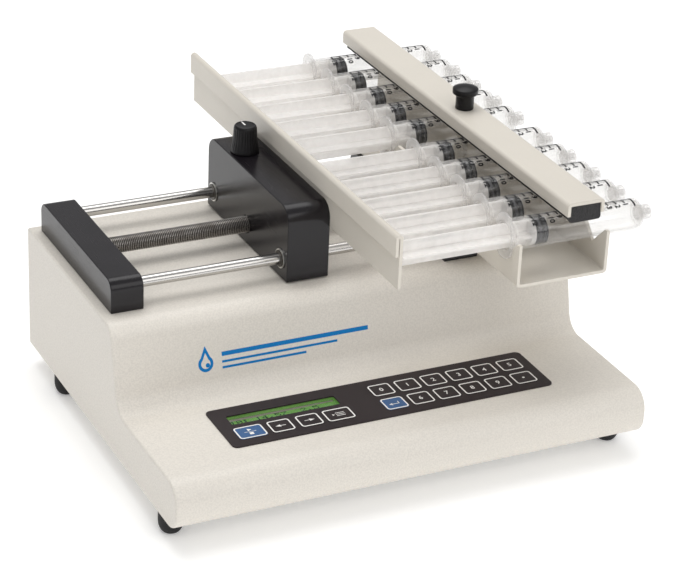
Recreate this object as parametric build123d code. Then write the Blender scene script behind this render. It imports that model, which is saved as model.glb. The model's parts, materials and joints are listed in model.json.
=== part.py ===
from build123d import *
import os
from math import sqrt, hypot

# Ten-channel bench-top syringe pump: a stepped sheet case with a keypad deck in
# front, a screw-driven carriage on top and a row of ten syringes lying along x.
# Drawn with x from the left wall, y from the front lip and z from the underside
# of the case. Each piece is then moved so that the origin is at bench level under
# the centre of the whole pump, overhanging syringe row included.
# Millimetres. Pairs hold a lower and an upper limit; cuts overshoot what they cut.

# Case
CASE_W = 279.4
CASE_D = 228.6
CASE_H = 74.1           # height of the raised rear part
SHEET = 1.5
TOP_UNDER = CASE_H - SHEET
BASE_TOP = 2 * SHEET    # base plate lies on the bottom flanges
LIP_H = 27.4            # height of the low keypad deck at the front
FACE_FOOT_Y = 83.9      # where the raised face meets the low deck
FACE_TOP_Y = 94.7       # where the raised face meets the top deck
R_BOTTOM = 11.0         # bend radii
R_LIP = 12.0
R_INNER = 12.0
R_TOP = 10.0
R_EDGE = 1.2            # softened side edges
FLANGE = 12.5           # inward bottom flange
FOOT_H = 12.2
FOOT_R = 6.9
FEET = [(x, y) for y in (25.4, 186.0) for x in (7.6, CASE_W - 7.6)]
PANEL_SCREWS = [(x, z) for x in (7.5, CASE_W - 7.5) for z in (14.0, 62.0)]

# Screws: (head radius, shank radius), then the radii of their holes
M3 = (2.7, 1.48)
M3_CLOSE = 1.5
M3_CLEAR = 1.6
M4 = (3.6, 1.97)
M4_PLATE = (3.4, 1.97)
M4_CLOSE = 1.98
M4_CLEAR = 2.15

# Drive
MID_Y = 165.2           # centre line of the drive and of the syringe row
AXIS_Z = CASE_H + 12.0  # height of rods and lead screw
ROD_R = 3.17
ROD_SPREAD = 95.25      # rod centre distance
ROD_Y = (MID_Y - ROD_SPREAD / 2, MID_Y + ROD_SPREAD / 2)
SCREW_R = 4.7625
JOURNAL_R = 3.15        # turned-down ends of the lead screw
BUSH_R = 4.7625         # holes for all plain bushings
BUSH_FIT = 0.005
BLOCK_H = 18.8          # height of the end blocks
BLOCK_TOP = CASE_H + BLOCK_H
LBLOCK_X = (6.0, 24.7)
LBLOCK_HALF = 56.4
RBLOCK_X = (203.9, 224.5)
RBLOCK_HALF = 62.4
LBLOCK_MID = sum(LBLOCK_X) / 2
RBLOCK_MID = sum(RBLOCK_X) / 2
BLOCK_SCREWS = [(x, MID_Y + dy) for x in (LBLOCK_MID, RBLOCK_MID) for dy in (-32, 32)]
RACK_SCREWS = [(RBLOCK_MID, MID_Y + dy) for dy in (-21.0, 21.0)]

# Motor and belt
MOTOR_Z = 42.0
MOTOR_X = (180.0, 214.0)
MOTOR_SIZE = 42.3
MOTOR_SHAFT_R = 2.5
MOTOR_SCREWS = [(MID_Y + dy, MOTOR_Z + dz) for dy in (-15.5, 15.5) for dz in (-15.5, 15.5)]
BRACKET_T = 2.0
BRACKET_X = (MOTOR_X[1], MOTOR_X[1] + BRACKET_T)
BRACKET_HALF = 25
BRACKET_SCREWS = [(200.0, MID_Y + dy) for dy in (-18, 18)]
BELT_X = (226.6, 232.4)
BELT_IN, BELT_OUT = 4.97, 6.1   # loop radii round the pulleys
SHAFT_END_X = BELT_X[1] + 1.6   # right end of lead screw and motor shaft

# Electronics
BOARD_X = (80, 170)
BOARD_Y = (105, 205)
BOARD_Z = (13.0, 14.6)
BOARD_INSET = 6.0
STANDOFFS = [(x, y) for y in (BOARD_Y[0] + BOARD_INSET, BOARD_Y[1] - BOARD_INSET)
             for x in (BOARD_X[0] + BOARD_INSET, BOARD_X[1] - BOARD_INSET)]
# Block-shaped parts on the board: x limits, y limits, top
BOARD_BLOCKS = [(96, 122, 150, 176, 18.0), (130, 142, 118, 152, 24.0), (88, 108, 118, 126, 23.0)]
# Round parts on the board: radius, top, x, y
BOARD_CANS = [(6.0, 30.0, 150.0, 180.0), (5.0, 27.0, 134.0, 186.0)]

# Keypad
PANEL_X = (43.5, 235.5)
PANEL_Y = (27.2, 68.2)
PANEL_T = 0.7
WIN_X = (48.0, 232.2)   # hole in the deck under the overlay
WIN_Y = (31.0, 65.0)
LCD_X = (52.0, 115.7)
LCD_Y = (49.8, 59.4)
KEY_R = 2.0
KEY = (13.2, 12.2)
WIDE_KEY = (16.2, 12.2)
KEY_X0, KEY_PITCH = 143.1, 16.0
ROW_BACK, ROW_FRONT = 55.6, 39.6
KEY_TRAVEL = 0.35
KEYPAD_BOARD_TOP = LIP_H - SHEET - 0.2
# Centre x, centre y, size of each key
KEYS = {
    "key_run_stop": (58.1, ROW_FRONT, WIDE_KEY),
    "key_left": (75.7, ROW_FRONT, KEY),
    "key_right": (92.3, ROW_FRONT, KEY),
    "key_select": (109.6, ROW_FRONT, WIDE_KEY),
    "key_enter": (KEY_X0, ROW_FRONT, KEY),
    "key_decimal": (KEY_X0 + 5 * KEY_PITCH, ROW_FRONT, KEY),
}
for k in range(6):
    KEYS[f"key_{k}"] = (KEY_X0 + k * KEY_PITCH, ROW_BACK, KEY)
for k in range(6, 10):
    KEYS[f"key_{k}"] = (KEY_X0 + (k - 5) * KEY_PITCH, ROW_FRONT, KEY)

# Rear connectors
INLET_X, INLET_Z = 60.0, 38.0
ROCKER_X = INLET_X + 15.0
ROCKER_PIN = 3.5                # pin depth behind the rocker's level datum
ROCKER_PIN_Y = CASE_D - 1.0 - ROCKER_PIN
SERIAL_X, SERIAL_Z = 120.0, 38.0

# Syringes and rack
PITCH = 27.0
MID_GAP = 7.5           # extra space between the fifth and sixth syringe
ROW_HALF = 139.7        # half length of pusher plate, rack and clamp bar
ROW_Y = (MID_Y - ROW_HALF, MID_Y + ROW_HALF)
RACK_X = (205.5, 261.5)
RACK_T = 1.9
RACK_TOP = 117.8
NOTCH_Z = 105.8         # apex of the V notches
BARREL_R = 8.75
BARREL_IN = 7.85
SYRINGE_Z = NOTCH_Z + BARREL_R * sqrt(2) + 0.03
FLANGE_X = 203.4
BARREL_END = 287.2
TIP_END = 295.0
STOP_X = 220.0          # back of the rubber stopper
SYRINGE_Y = sorted(MID_Y + s * (MID_GAP / 2 + PITCH * (k + 0.5)) for s in (-1, 1) for k in range(5))

# Carriage
PUSH_X = (108.6, 133.6)
PUSH_HALF = 56.5
PUSH_Z = (CASE_H + 0.75, 118.7)
PUSH_R = 9.0
PLATE_T = 1.9
PLATE_FRONT_X = PUSH_X[1] + PLATE_T     # side of the plate facing the syringes
PLATE_Z0 = 105.0
HEM_Z0 = 123.7
HEM_TOP = 136.2
HEM_GAP = 0.4
PLATE_SCREW_Y = [MID_Y - MID_GAP / 2 - PITCH, MID_Y, MID_Y + MID_GAP / 2 + PITCH]
PLATE_SCREW_Z = 112.0
NUT_X = (111.7, 130.5)
RETAINER_X = (110.0, 132.2)
RETAINER_Y = (MID_Y - 9.9, MID_Y + 42.5)
KNOB_X, KNOB_Y = 118.5, 192.0
RELEASE_TOP = 129.0
CAM_OFFSET = 2.5        # eccentricity of the half-nut release pin

# Clamp
BAR_X = (233.8, 256.4)
BAR_Z = (130.2, 138.0)
BAR_T = 1.9
FOAM_Z0 = 127.02
CLAMP_X = sum(BAR_X) / 2
CLAMP_R = 3.15
CLAMP_Z = (77.0, 150.0)

PLACE = Pos(-TIP_END / 2, -ROW_Y[1] / 2, FOOT_H)


# ---------------------------------------------------------------- helpers
def span(centre, half):
    return (centre - half, centre + half)


def grow(limits, by):
    return (limits[0] - by, limits[1] + by)


def box(x0, x1, y0, y1, z0, z1):
    return Pos((x0 + x1) / 2, (y0 + y1) / 2, (z0 + z1) / 2) * Box(x1 - x0, y1 - y0, z1 - z0)


def cyl_x(radius, x0, x1, y, z):
    return Pos((x0 + x1) / 2, y, z) * Rot(0, 90, 0) * Cylinder(radius, x1 - x0)


def cyl_y(radius, y0, y1, x, z):
    return Pos(x, (y0 + y1) / 2, z) * Rot(90, 0, 0) * Cylinder(radius, y1 - y0)


def cyl_z(radius, z0, z1, x, y):
    return Pos(x, y, (z0 + z1) / 2) * Cylinder(radius, z1 - z0)


def tube_x(outer, bore, x0, x1, y, z):
    return cyl_x(outer, x0, x1, y, z) - cyl_x(bore, x0 - 1, x1 + 1, y, z)


def screw(cylinder, radii, head, shank, *centre):
    """Pan-head screw along the axis of the given cylinder function."""
    return cylinder(radii[0], *head, *centre) + cylinder(radii[1], *shank, *centre)


def outline(points, radii):
    """Closed face through points, each corner rounded by its radius."""
    corners = []
    for i, (point, radius) in enumerate(zip(points, radii)):
        here = Vector(*point)
        if not radius:
            corners.append((here, None, here))
            continue
        back = (Vector(*points[i - 1]) - here).normalized()
        ahead = (Vector(*points[(i + 1) % len(points)]) - here).normalized()
        bisector = back + ahead
        cos_half = bisector.length / 2
        sin_half = sqrt(1 - cos_half * cos_half)
        trim = radius * cos_half / sin_half
        middle = here + bisector.normalized() * (radius / sin_half - radius)
        corners.append((here + back * trim, middle, here + ahead * trim))
    edges = []
    for i, (start, middle, end) in enumerate(corners):
        if middle is not None:
            edges.append(ThreePointArc(start, middle, end))
        edges.append(Line(end, corners[(i + 1) % len(corners)][0]))
    return make_face(edges)


def prism_x(points, radii, x0, x1):
    """Outline in (y, z), extruded along x."""
    plane = Plane(origin=(x0, 0, 0), x_dir=(0, 1, 0), z_dir=(1, 0, 0))
    return extrude(plane * outline(points, radii), x1 - x0)


def prism_y(points, radii, y0, y1):
    """Outline in (x, z), extruded along y."""
    plane = Plane(origin=(0, y1, 0), x_dir=(1, 0, 0), z_dir=(0, -1, 0))
    return extrude(plane * outline(points, radii), y1 - y0)


def prism_z(points, radii, z0, z1):
    """Outline in (x, y), extruded along z."""
    return extrude(Pos(0, 0, z0) * outline(points, radii), z1 - z0)


def rect(x0, x1, y0, y1):
    return [(x0, y0), (x1, y0), (x1, y1), (x0, y1)]


def key_pad(x, y, size, z0, z1, margin=0.0):
    sides = rect(*span(x, size[0] / 2 + margin), *span(y, size[1] / 2 + margin))
    return prism_z(sides, [KEY_R + margin] * 4, z0, z1)


def turned(profile, origin, direction):
    plane = Plane(origin=origin, x_dir=(1, 0, 0), z_dir=(0, -1, 0))
    face = make_face(Polyline(*profile, close=True))
    return revolve(plane * face, Axis(origin, direction), 360)


def turned_x(profile, y, z):
    """Revolved about an axis along x; profile is (x, radius) pairs."""
    return turned(profile, (0, y, z), (1, 0, 0))


def turned_z(profile, x, y):
    """Revolved about a vertical axis; profile is (radius, z) pairs."""
    return turned(profile, (x, y, 0), (0, 0, 1))


def edges_at_x(shape, *places):
    return [e for e in shape.edges() if any(abs(e.center().X - x) < 1e-4 for x in places)]


def upright_block(limits_x, half, z0, z1, top_radius):
    """Block across the drive with rounded upper corners."""
    y0, y1 = span(MID_Y, half)
    points = [(y0, z0), (y0, z1), (y1, z1), (y1, z0)]
    return prism_x(points, [0.6, top_radius, top_radius, 0.6], *limits_x)


# ---------------------------------------------------------------- case
def housing_shell():
    outer = [(0, 0), (0, LIP_H), (FACE_FOOT_Y, LIP_H), (FACE_TOP_Y, CASE_H),
             (CASE_D, CASE_H), (CASE_D, 0)]
    shell = prism_x(outer, [R_BOTTOM, R_LIP, R_INNER, R_TOP, 1.5, 0.0], 0, CASE_W)
    side_edges = [e for e in edges_at_x(shell, 0, CASE_W)
                  if e.center().Y < CASE_D - 0.6 and e.center().Z > 0.5]
    # The side edges stay sharp if the kernel can't round the whole chain
    try:
        shell = fillet(side_edges, R_EDGE)
    except Exception:
        pass
    # Inner surface: the same bends, one sheet thickness in
    rise = CASE_H - LIP_H
    run = FACE_TOP_Y - FACE_FOOT_Y
    slope = run / rise
    face_y = FACE_FOOT_Y + SHEET * hypot(run, rise) / rise
    open_y = CASE_D + 5
    inner = [(SHEET, SHEET), (SHEET, LIP_H - SHEET), (face_y - slope * SHEET, LIP_H - SHEET),
             (face_y + slope * (TOP_UNDER - LIP_H), TOP_UNDER),
             (open_y, TOP_UNDER), (open_y, SHEET)]
    shell -= prism_x(inner, [R_BOTTOM - SHEET, R_LIP - SHEET, R_INNER + SHEET, R_TOP - SHEET, 0, 0],
                     SHEET, CASE_W - SHEET)
    # Bottom opening between the flanges
    shell -= box(SHEET + FLANGE, CASE_W - SHEET - FLANGE, SHEET + FLANGE + 4, open_y,
                 -1, SHEET + 0.5)
    # Small rear flanges that take the rear panel screws
    for x0 in (SHEET - 0.2, CASE_W - SHEET - 10):
        shell += box(x0, x0 + 10.2, CASE_D - 2 * SHEET - 0.1, CASE_D - SHEET - 0.05,
                     SHEET - 0.2, TOP_UNDER + 0.2)
    # Keypad window, belt slot, screw holes
    shell -= prism_z(rect(*WIN_X, *WIN_Y), [2.0] * 4, *span(LIP_H, 4))
    shell -= prism_z(rect(*grow(BELT_X, 1.2), *span(MID_Y, 7.2)), [2.0] * 4, *span(CASE_H, 4))
    for x, y in BLOCK_SCREWS:
        shell -= cyl_z(M4_CLEAR, *span(CASE_H, 4), x, y)
    for x, y in FEET:
        shell -= cyl_z(M3_CLEAR, -2, SHEET + 1, x, y)
    for x, z in PANEL_SCREWS:
        shell -= cyl_y(M3_CLOSE, CASE_D - 2 * SHEET - 2, CASE_D - SHEET + 1, x, z)
    return shell


def base_plate():
    base = box(SHEET + 0.3, CASE_W - SHEET - 0.3, SHEET + 11.0, CASE_D - 2 * SHEET - 0.4,
               SHEET, BASE_TOP)
    for x, y in FEET:
        base -= cyl_z(M3_CLOSE, SHEET - 1, BASE_TOP + 1, x, y)
    for k in range(7):
        base -= prism_z(rect(*span(92 + 9 * k, 1.5), 62, 92), [1.4] * 4, 0, 5)
    for x, y in BRACKET_SCREWS:
        base -= cyl_z(M3_CLEAR, 0, 5, x, y)
    return base


def rear_panel():
    cut_y = span(CASE_D, 5)
    panel = box(SHEET + 0.15, CASE_W - SHEET - 0.15, CASE_D - SHEET, CASE_D,
                BASE_TOP + 0.2, TOP_UNDER - 0.15)
    panel -= box(*span(INLET_X, 27.2), *cut_y, *span(INLET_Z, 13.2))
    panel -= box(*span(SERIAL_X, 9.8), *cut_y, *span(SERIAL_Z, 5.2))
    for k in range(10):
        slot = extrude(SlotOverall(30, 3, rotation=90), 5, both=True)
        panel -= Pos(165 + 8 * k, CASE_D, 44) * Rot(90, 0, 0) * slot
    for x, z in PANEL_SCREWS:
        panel -= cyl_y(M3_CLEAR, *cut_y, x, z)
    return panel


def rubber_feet():
    # (radius, z), with a counterbore from below for the screw head
    profile = [
        (1.7, -0.02), (FOOT_R, -0.02), (FOOT_R, -5.6), (6.8, -7.2), (6.55, -8.6), (6.1, -9.9),
        (5.45, -11.1), (4.9, -11.8), (4.5, -FOOT_H), (3.3, -FOOT_H), (3.3, -3.4), (1.7, -3.4),
    ]
    return [turned_z(profile, x, y) for x, y in FEET]


def m3_screws():
    """Screws through the feet, rear panel, motor face and motor bracket."""
    x0, x1 = BRACKET_X
    foot_top = BASE_TOP + BRACKET_T
    screws = [screw(cyl_z, M3, (-5.4, -3.4), (-3.5, BASE_TOP + 0.6), x, y) for x, y in FEET]
    screws += [screw(cyl_y, M3, (CASE_D, CASE_D + 1.9), (CASE_D - 5.5, CASE_D + 0.5), x, z)
               for x, z in PANEL_SCREWS]
    screws += [screw(cyl_x, M3, (x1, x1 + 1.9), (x0 - 5, x1 + 0.5), y, z)
               for y, z in MOTOR_SCREWS]
    screws += [screw(cyl_z, M3, (foot_top, foot_top + 1.9), (0.6, foot_top + 0.5), x, y)
               for x, y in BRACKET_SCREWS]
    return screws


# ---------------------------------------------------------------- end blocks
def left_end_block():
    block = upright_block(LBLOCK_X, LBLOCK_HALF, CASE_H, BLOCK_TOP, 6.5)
    block = chamfer(edges_at_x(block, *LBLOCK_X), 0.35)
    for y in ROD_Y:
        block -= cyl_x(ROD_R + 0.01, LBLOCK_X[0] + 4, LBLOCK_X[1] + 1, y, AXIS_Z)
    block -= cyl_x(BUSH_R, 12.7, LBLOCK_X[1] + 1, MID_Y, AXIS_Z)
    block -= cyl_x(3.6, 10.5, 13.0, MID_Y, AXIS_Z)
    for x, y in BLOCK_SCREWS[:2]:
        block -= cyl_z(M4_CLOSE, CASE_H - 1, CASE_H + 8.5, x, y)
    return block


def right_end_block():
    block = upright_block(RBLOCK_X, RBLOCK_HALF, CASE_H, BLOCK_TOP, 6.5)
    for y in ROD_Y:
        block -= cyl_x(ROD_R + 0.01, RBLOCK_X[0] - 1, RBLOCK_X[1] - 4, y, AXIS_Z)
    block -= cyl_x(BUSH_R, *grow(RBLOCK_X, 1), MID_Y, AXIS_Z)
    for x, y in BLOCK_SCREWS[2:]:
        block -= cyl_z(M4_CLOSE, CASE_H - 1, CASE_H + 8.5, x, y)
    for x, y in RACK_SCREWS:
        block -= cyl_z(M4_CLOSE, BLOCK_TOP - 8.5, BLOCK_TOP + 1, x, y)
    return block


def m4_screws():
    """Screws up into the end blocks, and down through the rack."""
    rack_floor = BLOCK_TOP + RACK_T
    screws = [screw(cyl_z, M4, (TOP_UNDER - 2.4, TOP_UNDER), (TOP_UNDER - 0.5, CASE_H + 7.5), x, y)
              for x, y in BLOCK_SCREWS]
    screws += [screw(cyl_z, M4, (rack_floor, rack_floor + 2.2),
                     (BLOCK_TOP - 7.5, rack_floor + 0.5), x, y) for x, y in RACK_SCREWS]
    return screws


def guide_rods():
    return [cyl_x(ROD_R, LBLOCK_X[0] + 4.2, RBLOCK_X[1] - 4.2, y, AXIS_Z) for y in ROD_Y]


def screw_bushings():
    return [tube_x(BUSH_R - BUSH_FIT, 3.19, *limits, MID_Y, AXIS_Z)
            for limits in ((12.8, LBLOCK_X[1]), RBLOCK_X)]


# ---------------------------------------------------------------- lead screw and belt drive
def lead_screw():
    body = cyl_x(SCREW_R, LBLOCK_X[1] + 0.1, RBLOCK_X[0] - 0.1, MID_Y, AXIS_Z)
    return body + cyl_x(JOURNAL_R, 11.0, SHAFT_END_X, MID_Y, AXIS_Z)


def pulley(z, bore):
    body = cyl_x(BELT_IN - 0.05, *grow(BELT_X, 0.6), MID_Y, z)
    body += cyl_x(5.6, BELT_X[0] - 0.7, BELT_X[0] - 0.15, MID_Y, z)
    body += cyl_x(5.6, BELT_X[1] + 0.15, BELT_X[1] + 0.7, MID_Y, z)
    return body - cyl_x(bore, *grow(BELT_X, 2), MID_Y, z)


def leadscrew_pulley():
    return pulley(AXIS_Z, JOURNAL_R)


def motor_pulley():
    return pulley(MOTOR_Z, MOTOR_SHAFT_R)


def belt_loop(radius):
    middle = box(*BELT_X, *span(MID_Y, radius), MOTOR_Z, AXIS_Z)
    return middle + cyl_x(radius, *BELT_X, MID_Y, MOTOR_Z) + cyl_x(radius, *BELT_X, MID_Y, AXIS_Z)


def timing_belt():
    return belt_loop(BELT_OUT) - belt_loop(BELT_IN)


def stepper_motor():
    sides = rect(*span(MID_Y, MOTOR_SIZE / 2), *span(MOTOR_Z, MOTOR_SIZE / 2))
    motor = prism_x(sides, [4.0] * 4, *MOTOR_X)
    motor += cyl_x(11.0, MOTOR_X[1] - 0.5, MOTOR_X[1] + 1.9, MID_Y, MOTOR_Z)
    motor -= cyl_x(2.56, MOTOR_X[0] + 12, MOTOR_X[1] + 3, MID_Y, MOTOR_Z)
    for y, z in MOTOR_SCREWS:
        motor -= cyl_x(M3_CLOSE, MOTOR_X[1] - 6, MOTOR_X[1] + 1, y, z)
    return motor


def motor_shaft():
    return cyl_x(MOTOR_SHAFT_R, MOTOR_X[0] + 12.5, SHAFT_END_X, MID_Y, MOTOR_Z)


def motor_bracket():
    limits_y = span(MID_Y, BRACKET_HALF)
    bracket = box(*BRACKET_X, *limits_y, BASE_TOP, MOTOR_Z + 24)
    bracket += box(190, BRACKET_X[1], *limits_y, BASE_TOP, BASE_TOP + BRACKET_T)
    bracket -= cyl_x(11.1, *grow(BRACKET_X, 1), MID_Y, MOTOR_Z)
    for y, z in MOTOR_SCREWS:
        bracket -= cyl_x(M3_CLEAR, *grow(BRACKET_X, 1), y, z)
    for x, y in BRACKET_SCREWS:
        bracket -= cyl_z(M3_CLEAR, 2, 6, x, y)
    return bracket


# ---------------------------------------------------------------- electronics
def main_board():
    part_z0 = BOARD_Z[1] - 0.1
    board = box(*BOARD_X, *BOARD_Y, *BOARD_Z)
    for *sides, top in BOARD_BLOCKS:
        board += box(*sides, part_z0, top)
    for radius, top, x, y in BOARD_CANS:
        board += cyl_z(radius, part_z0, top, x, y)
    for x, y in STANDOFFS:
        board -= cyl_z(M3_CLEAR, 12, 16, x, y)
    return board


def board_standoffs():
    return [cyl_z(3.0, BASE_TOP, BOARD_Z[0], x, y) + cyl_z(1.55, BOARD_Z[0] - 0.1, 16.5, x, y)
            for x, y in STANDOFFS]


def power_transformer():
    core = box(22, 64, 122, 172, BASE_TOP, BASE_TOP + 36)
    return core + box(27, 59, 115, 179, BASE_TOP + 6, BASE_TOP + 30)


# ---------------------------------------------------------------- keypad and display
def keypad_overlay():
    cut_z = (LIP_H - 1, LIP_H + 2)
    overlay = prism_z(rect(*PANEL_X, *PANEL_Y), [3.2] * 4, LIP_H, LIP_H + PANEL_T)
    overlay -= prism_z(rect(*LCD_X, *LCD_Y), [1.2] * 4, *cut_z)
    for x, y, size in KEYS.values():
        overlay -= key_pad(x, y, size, *cut_z, margin=0.08)
    return overlay


def key(x, y, size):
    """Key cap on a wider skirt that holds it under the overlay."""
    cap = key_pad(x, y, size, LIP_H - 0.3, LIP_H + PANEL_T + 0.22)
    cap = fillet(cap.edges().group_by(Axis.Z)[-1], 0.15)
    skirt_z0 = KEYPAD_BOARD_TOP + KEY_TRAVEL + 0.05
    return cap + key_pad(x, y, size, skirt_z0, LIP_H - 0.25, margin=0.8)


def keypad_board():
    top = KEYPAD_BOARD_TOP
    board = box(46.5, 233.0, 29.3, 66.7, top - 1.6, top)
    return board - box(48.6, 119.1, 46.9, 62.4, top - 3, top + 1)


def lcd_module():
    module = box(49.4, 118.4, 47.2, 62.1, 19.0, LIP_H - 0.62)
    return module - box(*grow(LCD_X, 0.2), *grow(LCD_Y, 0.2), LIP_H - 2.3, LIP_H + 1)


def lcd_window():
    return box(50.0, 117.7, 48.2, 61.2, LIP_H - 0.6, LIP_H - 0.04)


# ---------------------------------------------------------------- rear connectors
def power_inlet():
    inlet = box(*span(INLET_X, 27), CASE_D - 24, CASE_D, *span(INLET_Z, 13))
    bezel = rect(*span(INLET_X, 30), *span(INLET_Z, 16))
    inlet += prism_y(bezel, [3] * 4, CASE_D + 0.01, CASE_D + 2.0)
    inlet += box(*span(INLET_X, 26), CASE_D - 1, CASE_D + 0.1, *span(INLET_Z, 12))
    # Socket with two clipped upper corners, as (x, z) from the inlet centre
    socket = [(-24, -8), (0, -8), (0, 4), (-4, 8), (-20, 8), (-24, 4)]
    inlet -= prism_y([(INLET_X + dx, INLET_Z + dz) for dx, dz in socket], [1] * 6,
                     CASE_D - 14, CASE_D + 3)
    for dx, dz in ((-19, 0.0), (-5, 0.0), (-12, 3.0)):
        inlet += box(*span(INLET_X + dx, 1), CASE_D - 15, CASE_D - 3, *span(INLET_Z + dz, 2.5))
    # Rocker opening and its pin holes
    inlet -= box(*span(ROCKER_X, 6.7), CASE_D - 13, CASE_D + 3, *span(INLET_Z, 9.7))
    inlet -= cyl_x(1.35, *span(ROCKER_X, 8.5), ROCKER_PIN_Y, INLET_Z)
    return inlet


def power_rocker():
    """Rocker drawn level, then tipped about its pin so the upper end stands out."""
    side = [(3.6, -9.1), (2.0, 0.0), (3.6, 9.1), (-3.0, 8.0), (-8.0, 2.0), (-8.0, -2.0),
            (-3.0, -8.0)]
    rocker = prism_x(side, [0.5, 0, 0.5, 1, 1, 1, 1], -6.3, 6.3)
    rocker += cyl_x(1.3, -8.2, 8.2, -ROCKER_PIN, 0)
    tip = Pos(ROCKER_X, ROCKER_PIN_Y, INLET_Z) * Rot(-6, 0, 0) * Pos(0, ROCKER_PIN, 0)
    return tip * rocker


def serial_connector():
    def d_shape(top_half, bottom_half, half_height, radius, y0, y1):
        z0, z1 = span(SERIAL_Z, half_height)
        points = [(SERIAL_X - top_half, z1), (SERIAL_X + top_half, z1),
                  (SERIAL_X + bottom_half, z0), (SERIAL_X - bottom_half, z0)]
        return prism_y(points, [radius] * 4, CASE_D + y0, CASE_D + y1)

    face = rect(*span(SERIAL_X, 15.4), *span(SERIAL_Z, 6.2))
    connector = prism_y(face, [1.5] * 4, CASE_D + 0.01, CASE_D + 1.0)
    connector += box(*span(SERIAL_X, 9.4), CASE_D - 9, CASE_D + 0.5, *span(SERIAL_Z, 4.8))
    connector += d_shape(8.5, 7.1, 4.2, 1.6, 0.9, 6.0)
    connector -= d_shape(7.9, 6.6, 3.7, 1.2, 1.5, 7.0)
    for count, dz in ((5, 1.4), (4, -1.4)):
        for k in range(count):
            x = SERIAL_X + (k - (count - 1) / 2) * 2.77
            connector += cyl_y(0.5, CASE_D + 1.4, CASE_D + 5.4, x, SERIAL_Z + dz)
    return connector


# ---------------------------------------------------------------- syringes
def syringe_rack():
    """Upward-open channel with V notches in both walls and a boss underneath."""
    x0, x1 = RACK_X
    floor = BLOCK_TOP + RACK_T
    channel = [(x0, RACK_TOP), (x0, BLOCK_TOP), (x1, BLOCK_TOP), (x1, RACK_TOP),
               (x1 - RACK_T, RACK_TOP), (x1 - RACK_T, floor),
               (x0 + RACK_T, floor), (x0 + RACK_T, RACK_TOP)]
    rack = prism_y(channel, [0, 2.4, 2.4, 0, 0, 0.8, 0.8, 0], *ROW_Y)
    reach = RACK_TOP - NOTCH_Z + 2
    for y in SYRINGE_Y:
        notch = [(y, NOTCH_Z), (y + reach, RACK_TOP + 2), (y - reach, RACK_TOP + 2)]
        rack -= prism_x(notch, [0.5, 0, 0], *grow(RACK_X, 1))
    rack += cyl_z(5.5, BLOCK_TOP - 6.0, BLOCK_TOP + 0.5, CLAMP_X, MID_Y)
    rack -= cyl_z(CLAMP_R + 0.05, BLOCK_TOP - 8, BLOCK_TOP + 5, CLAMP_X, MID_Y)
    for x, y in RACK_SCREWS:
        rack -= cyl_z(M4_CLEAR, BLOCK_TOP - 2, floor + 1, x, y)
    return rack


def syringe_barrel(y):
    end = BARREL_END
    body = turned_x([
        (FLANGE_X, BARREL_IN), (FLANGE_X, BARREL_R), (end - 2.0, BARREL_R), (end - 0.9, 8.3),
        (end - 0.2, 7.4), (end, 6.4), (end + 0.4, 3.1), (end + 1.0, 2.5), (TIP_END, 2.0),
        (TIP_END, 1.05), (end - 0.4, 1.05), (end - 1.3, 6.8), (end - 1.7, BARREL_IN),
    ], y, SYRINGE_Z)
    plane = Plane(origin=(FLANGE_X, y, SYRINGE_Z), x_dir=(0, 1, 0), z_dir=(1, 0, 0))
    wing = extrude(plane * SlotOverall(26.0, 17.6, rotation=90), 1.9)
    wing -= cyl_x(BARREL_IN, FLANGE_X - 1, FLANGE_X + 4, y, SYRINGE_Z)
    # Collar round the tip
    collar = cyl_x(4.4, end - 0.5, end + 7.2, y, SYRINGE_Z)
    collar -= cyl_x(3.45, end + 0.5, end + 8, y, SYRINGE_Z)
    collar -= cyl_x(2.0, end - 1, end + 8, y, SYRINGE_Z)
    return body + wing + collar


def plunger_rod(y):
    """Thumb disc, cross-shaped stem, two discs and the peg in the stopper."""
    x0 = PLATE_FRONT_X + 0.05
    stem_x = (x0 + 1.0, STOP_X - 2.6)
    rod = turned_x([(x0, 0), (x0, 8.7), (x0 + 0.4, 9.1), (x0 + 1.4, 9.1), (x0 + 1.9, 8.5),
                    (x0 + 1.9, 0)], y, SYRINGE_Z)
    rod += box(*stem_x, *span(y, 7.15), *span(SYRINGE_Z, 0.7))
    rod += box(*stem_x, *span(y, 0.7), *span(SYRINGE_Z, 7.15))
    rod += cyl_x(7.4, STOP_X - 12.0, STOP_X - 10.8, y, SYRINGE_Z)
    rod += cyl_x(7.4, STOP_X - 2.8, STOP_X - 0.05, y, SYRINGE_Z)
    rod += cyl_x(3.4, STOP_X - 0.5, STOP_X + 2.4, y, SYRINGE_Z)
    return rod


# Stopper outline: (x from the back of the stopper, radius)
STOPPER = [
    (0, 3.5), (0, 7.6), (0.3, 7.8), (1.6, 7.8), (2.2, 7.2), (3.0, 7.2), (3.6, 7.8), (5.0, 7.8),
    (5.6, 7.2), (6.0, 7.2), (6.5, 7.8), (7.2, 7.7), (8.6, 0), (2.5, 0), (2.5, 3.5),
]


def syringe_barrels():
    return [syringe_barrel(y) for y in SYRINGE_Y]


def plunger_rods():
    return [plunger_rod(y) for y in SYRINGE_Y]


def plunger_stoppers():
    profile = [(STOP_X + dx, radius) for dx, radius in STOPPER]
    return [turned_x(profile, y, SYRINGE_Z) for y in SYRINGE_Y]


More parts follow.
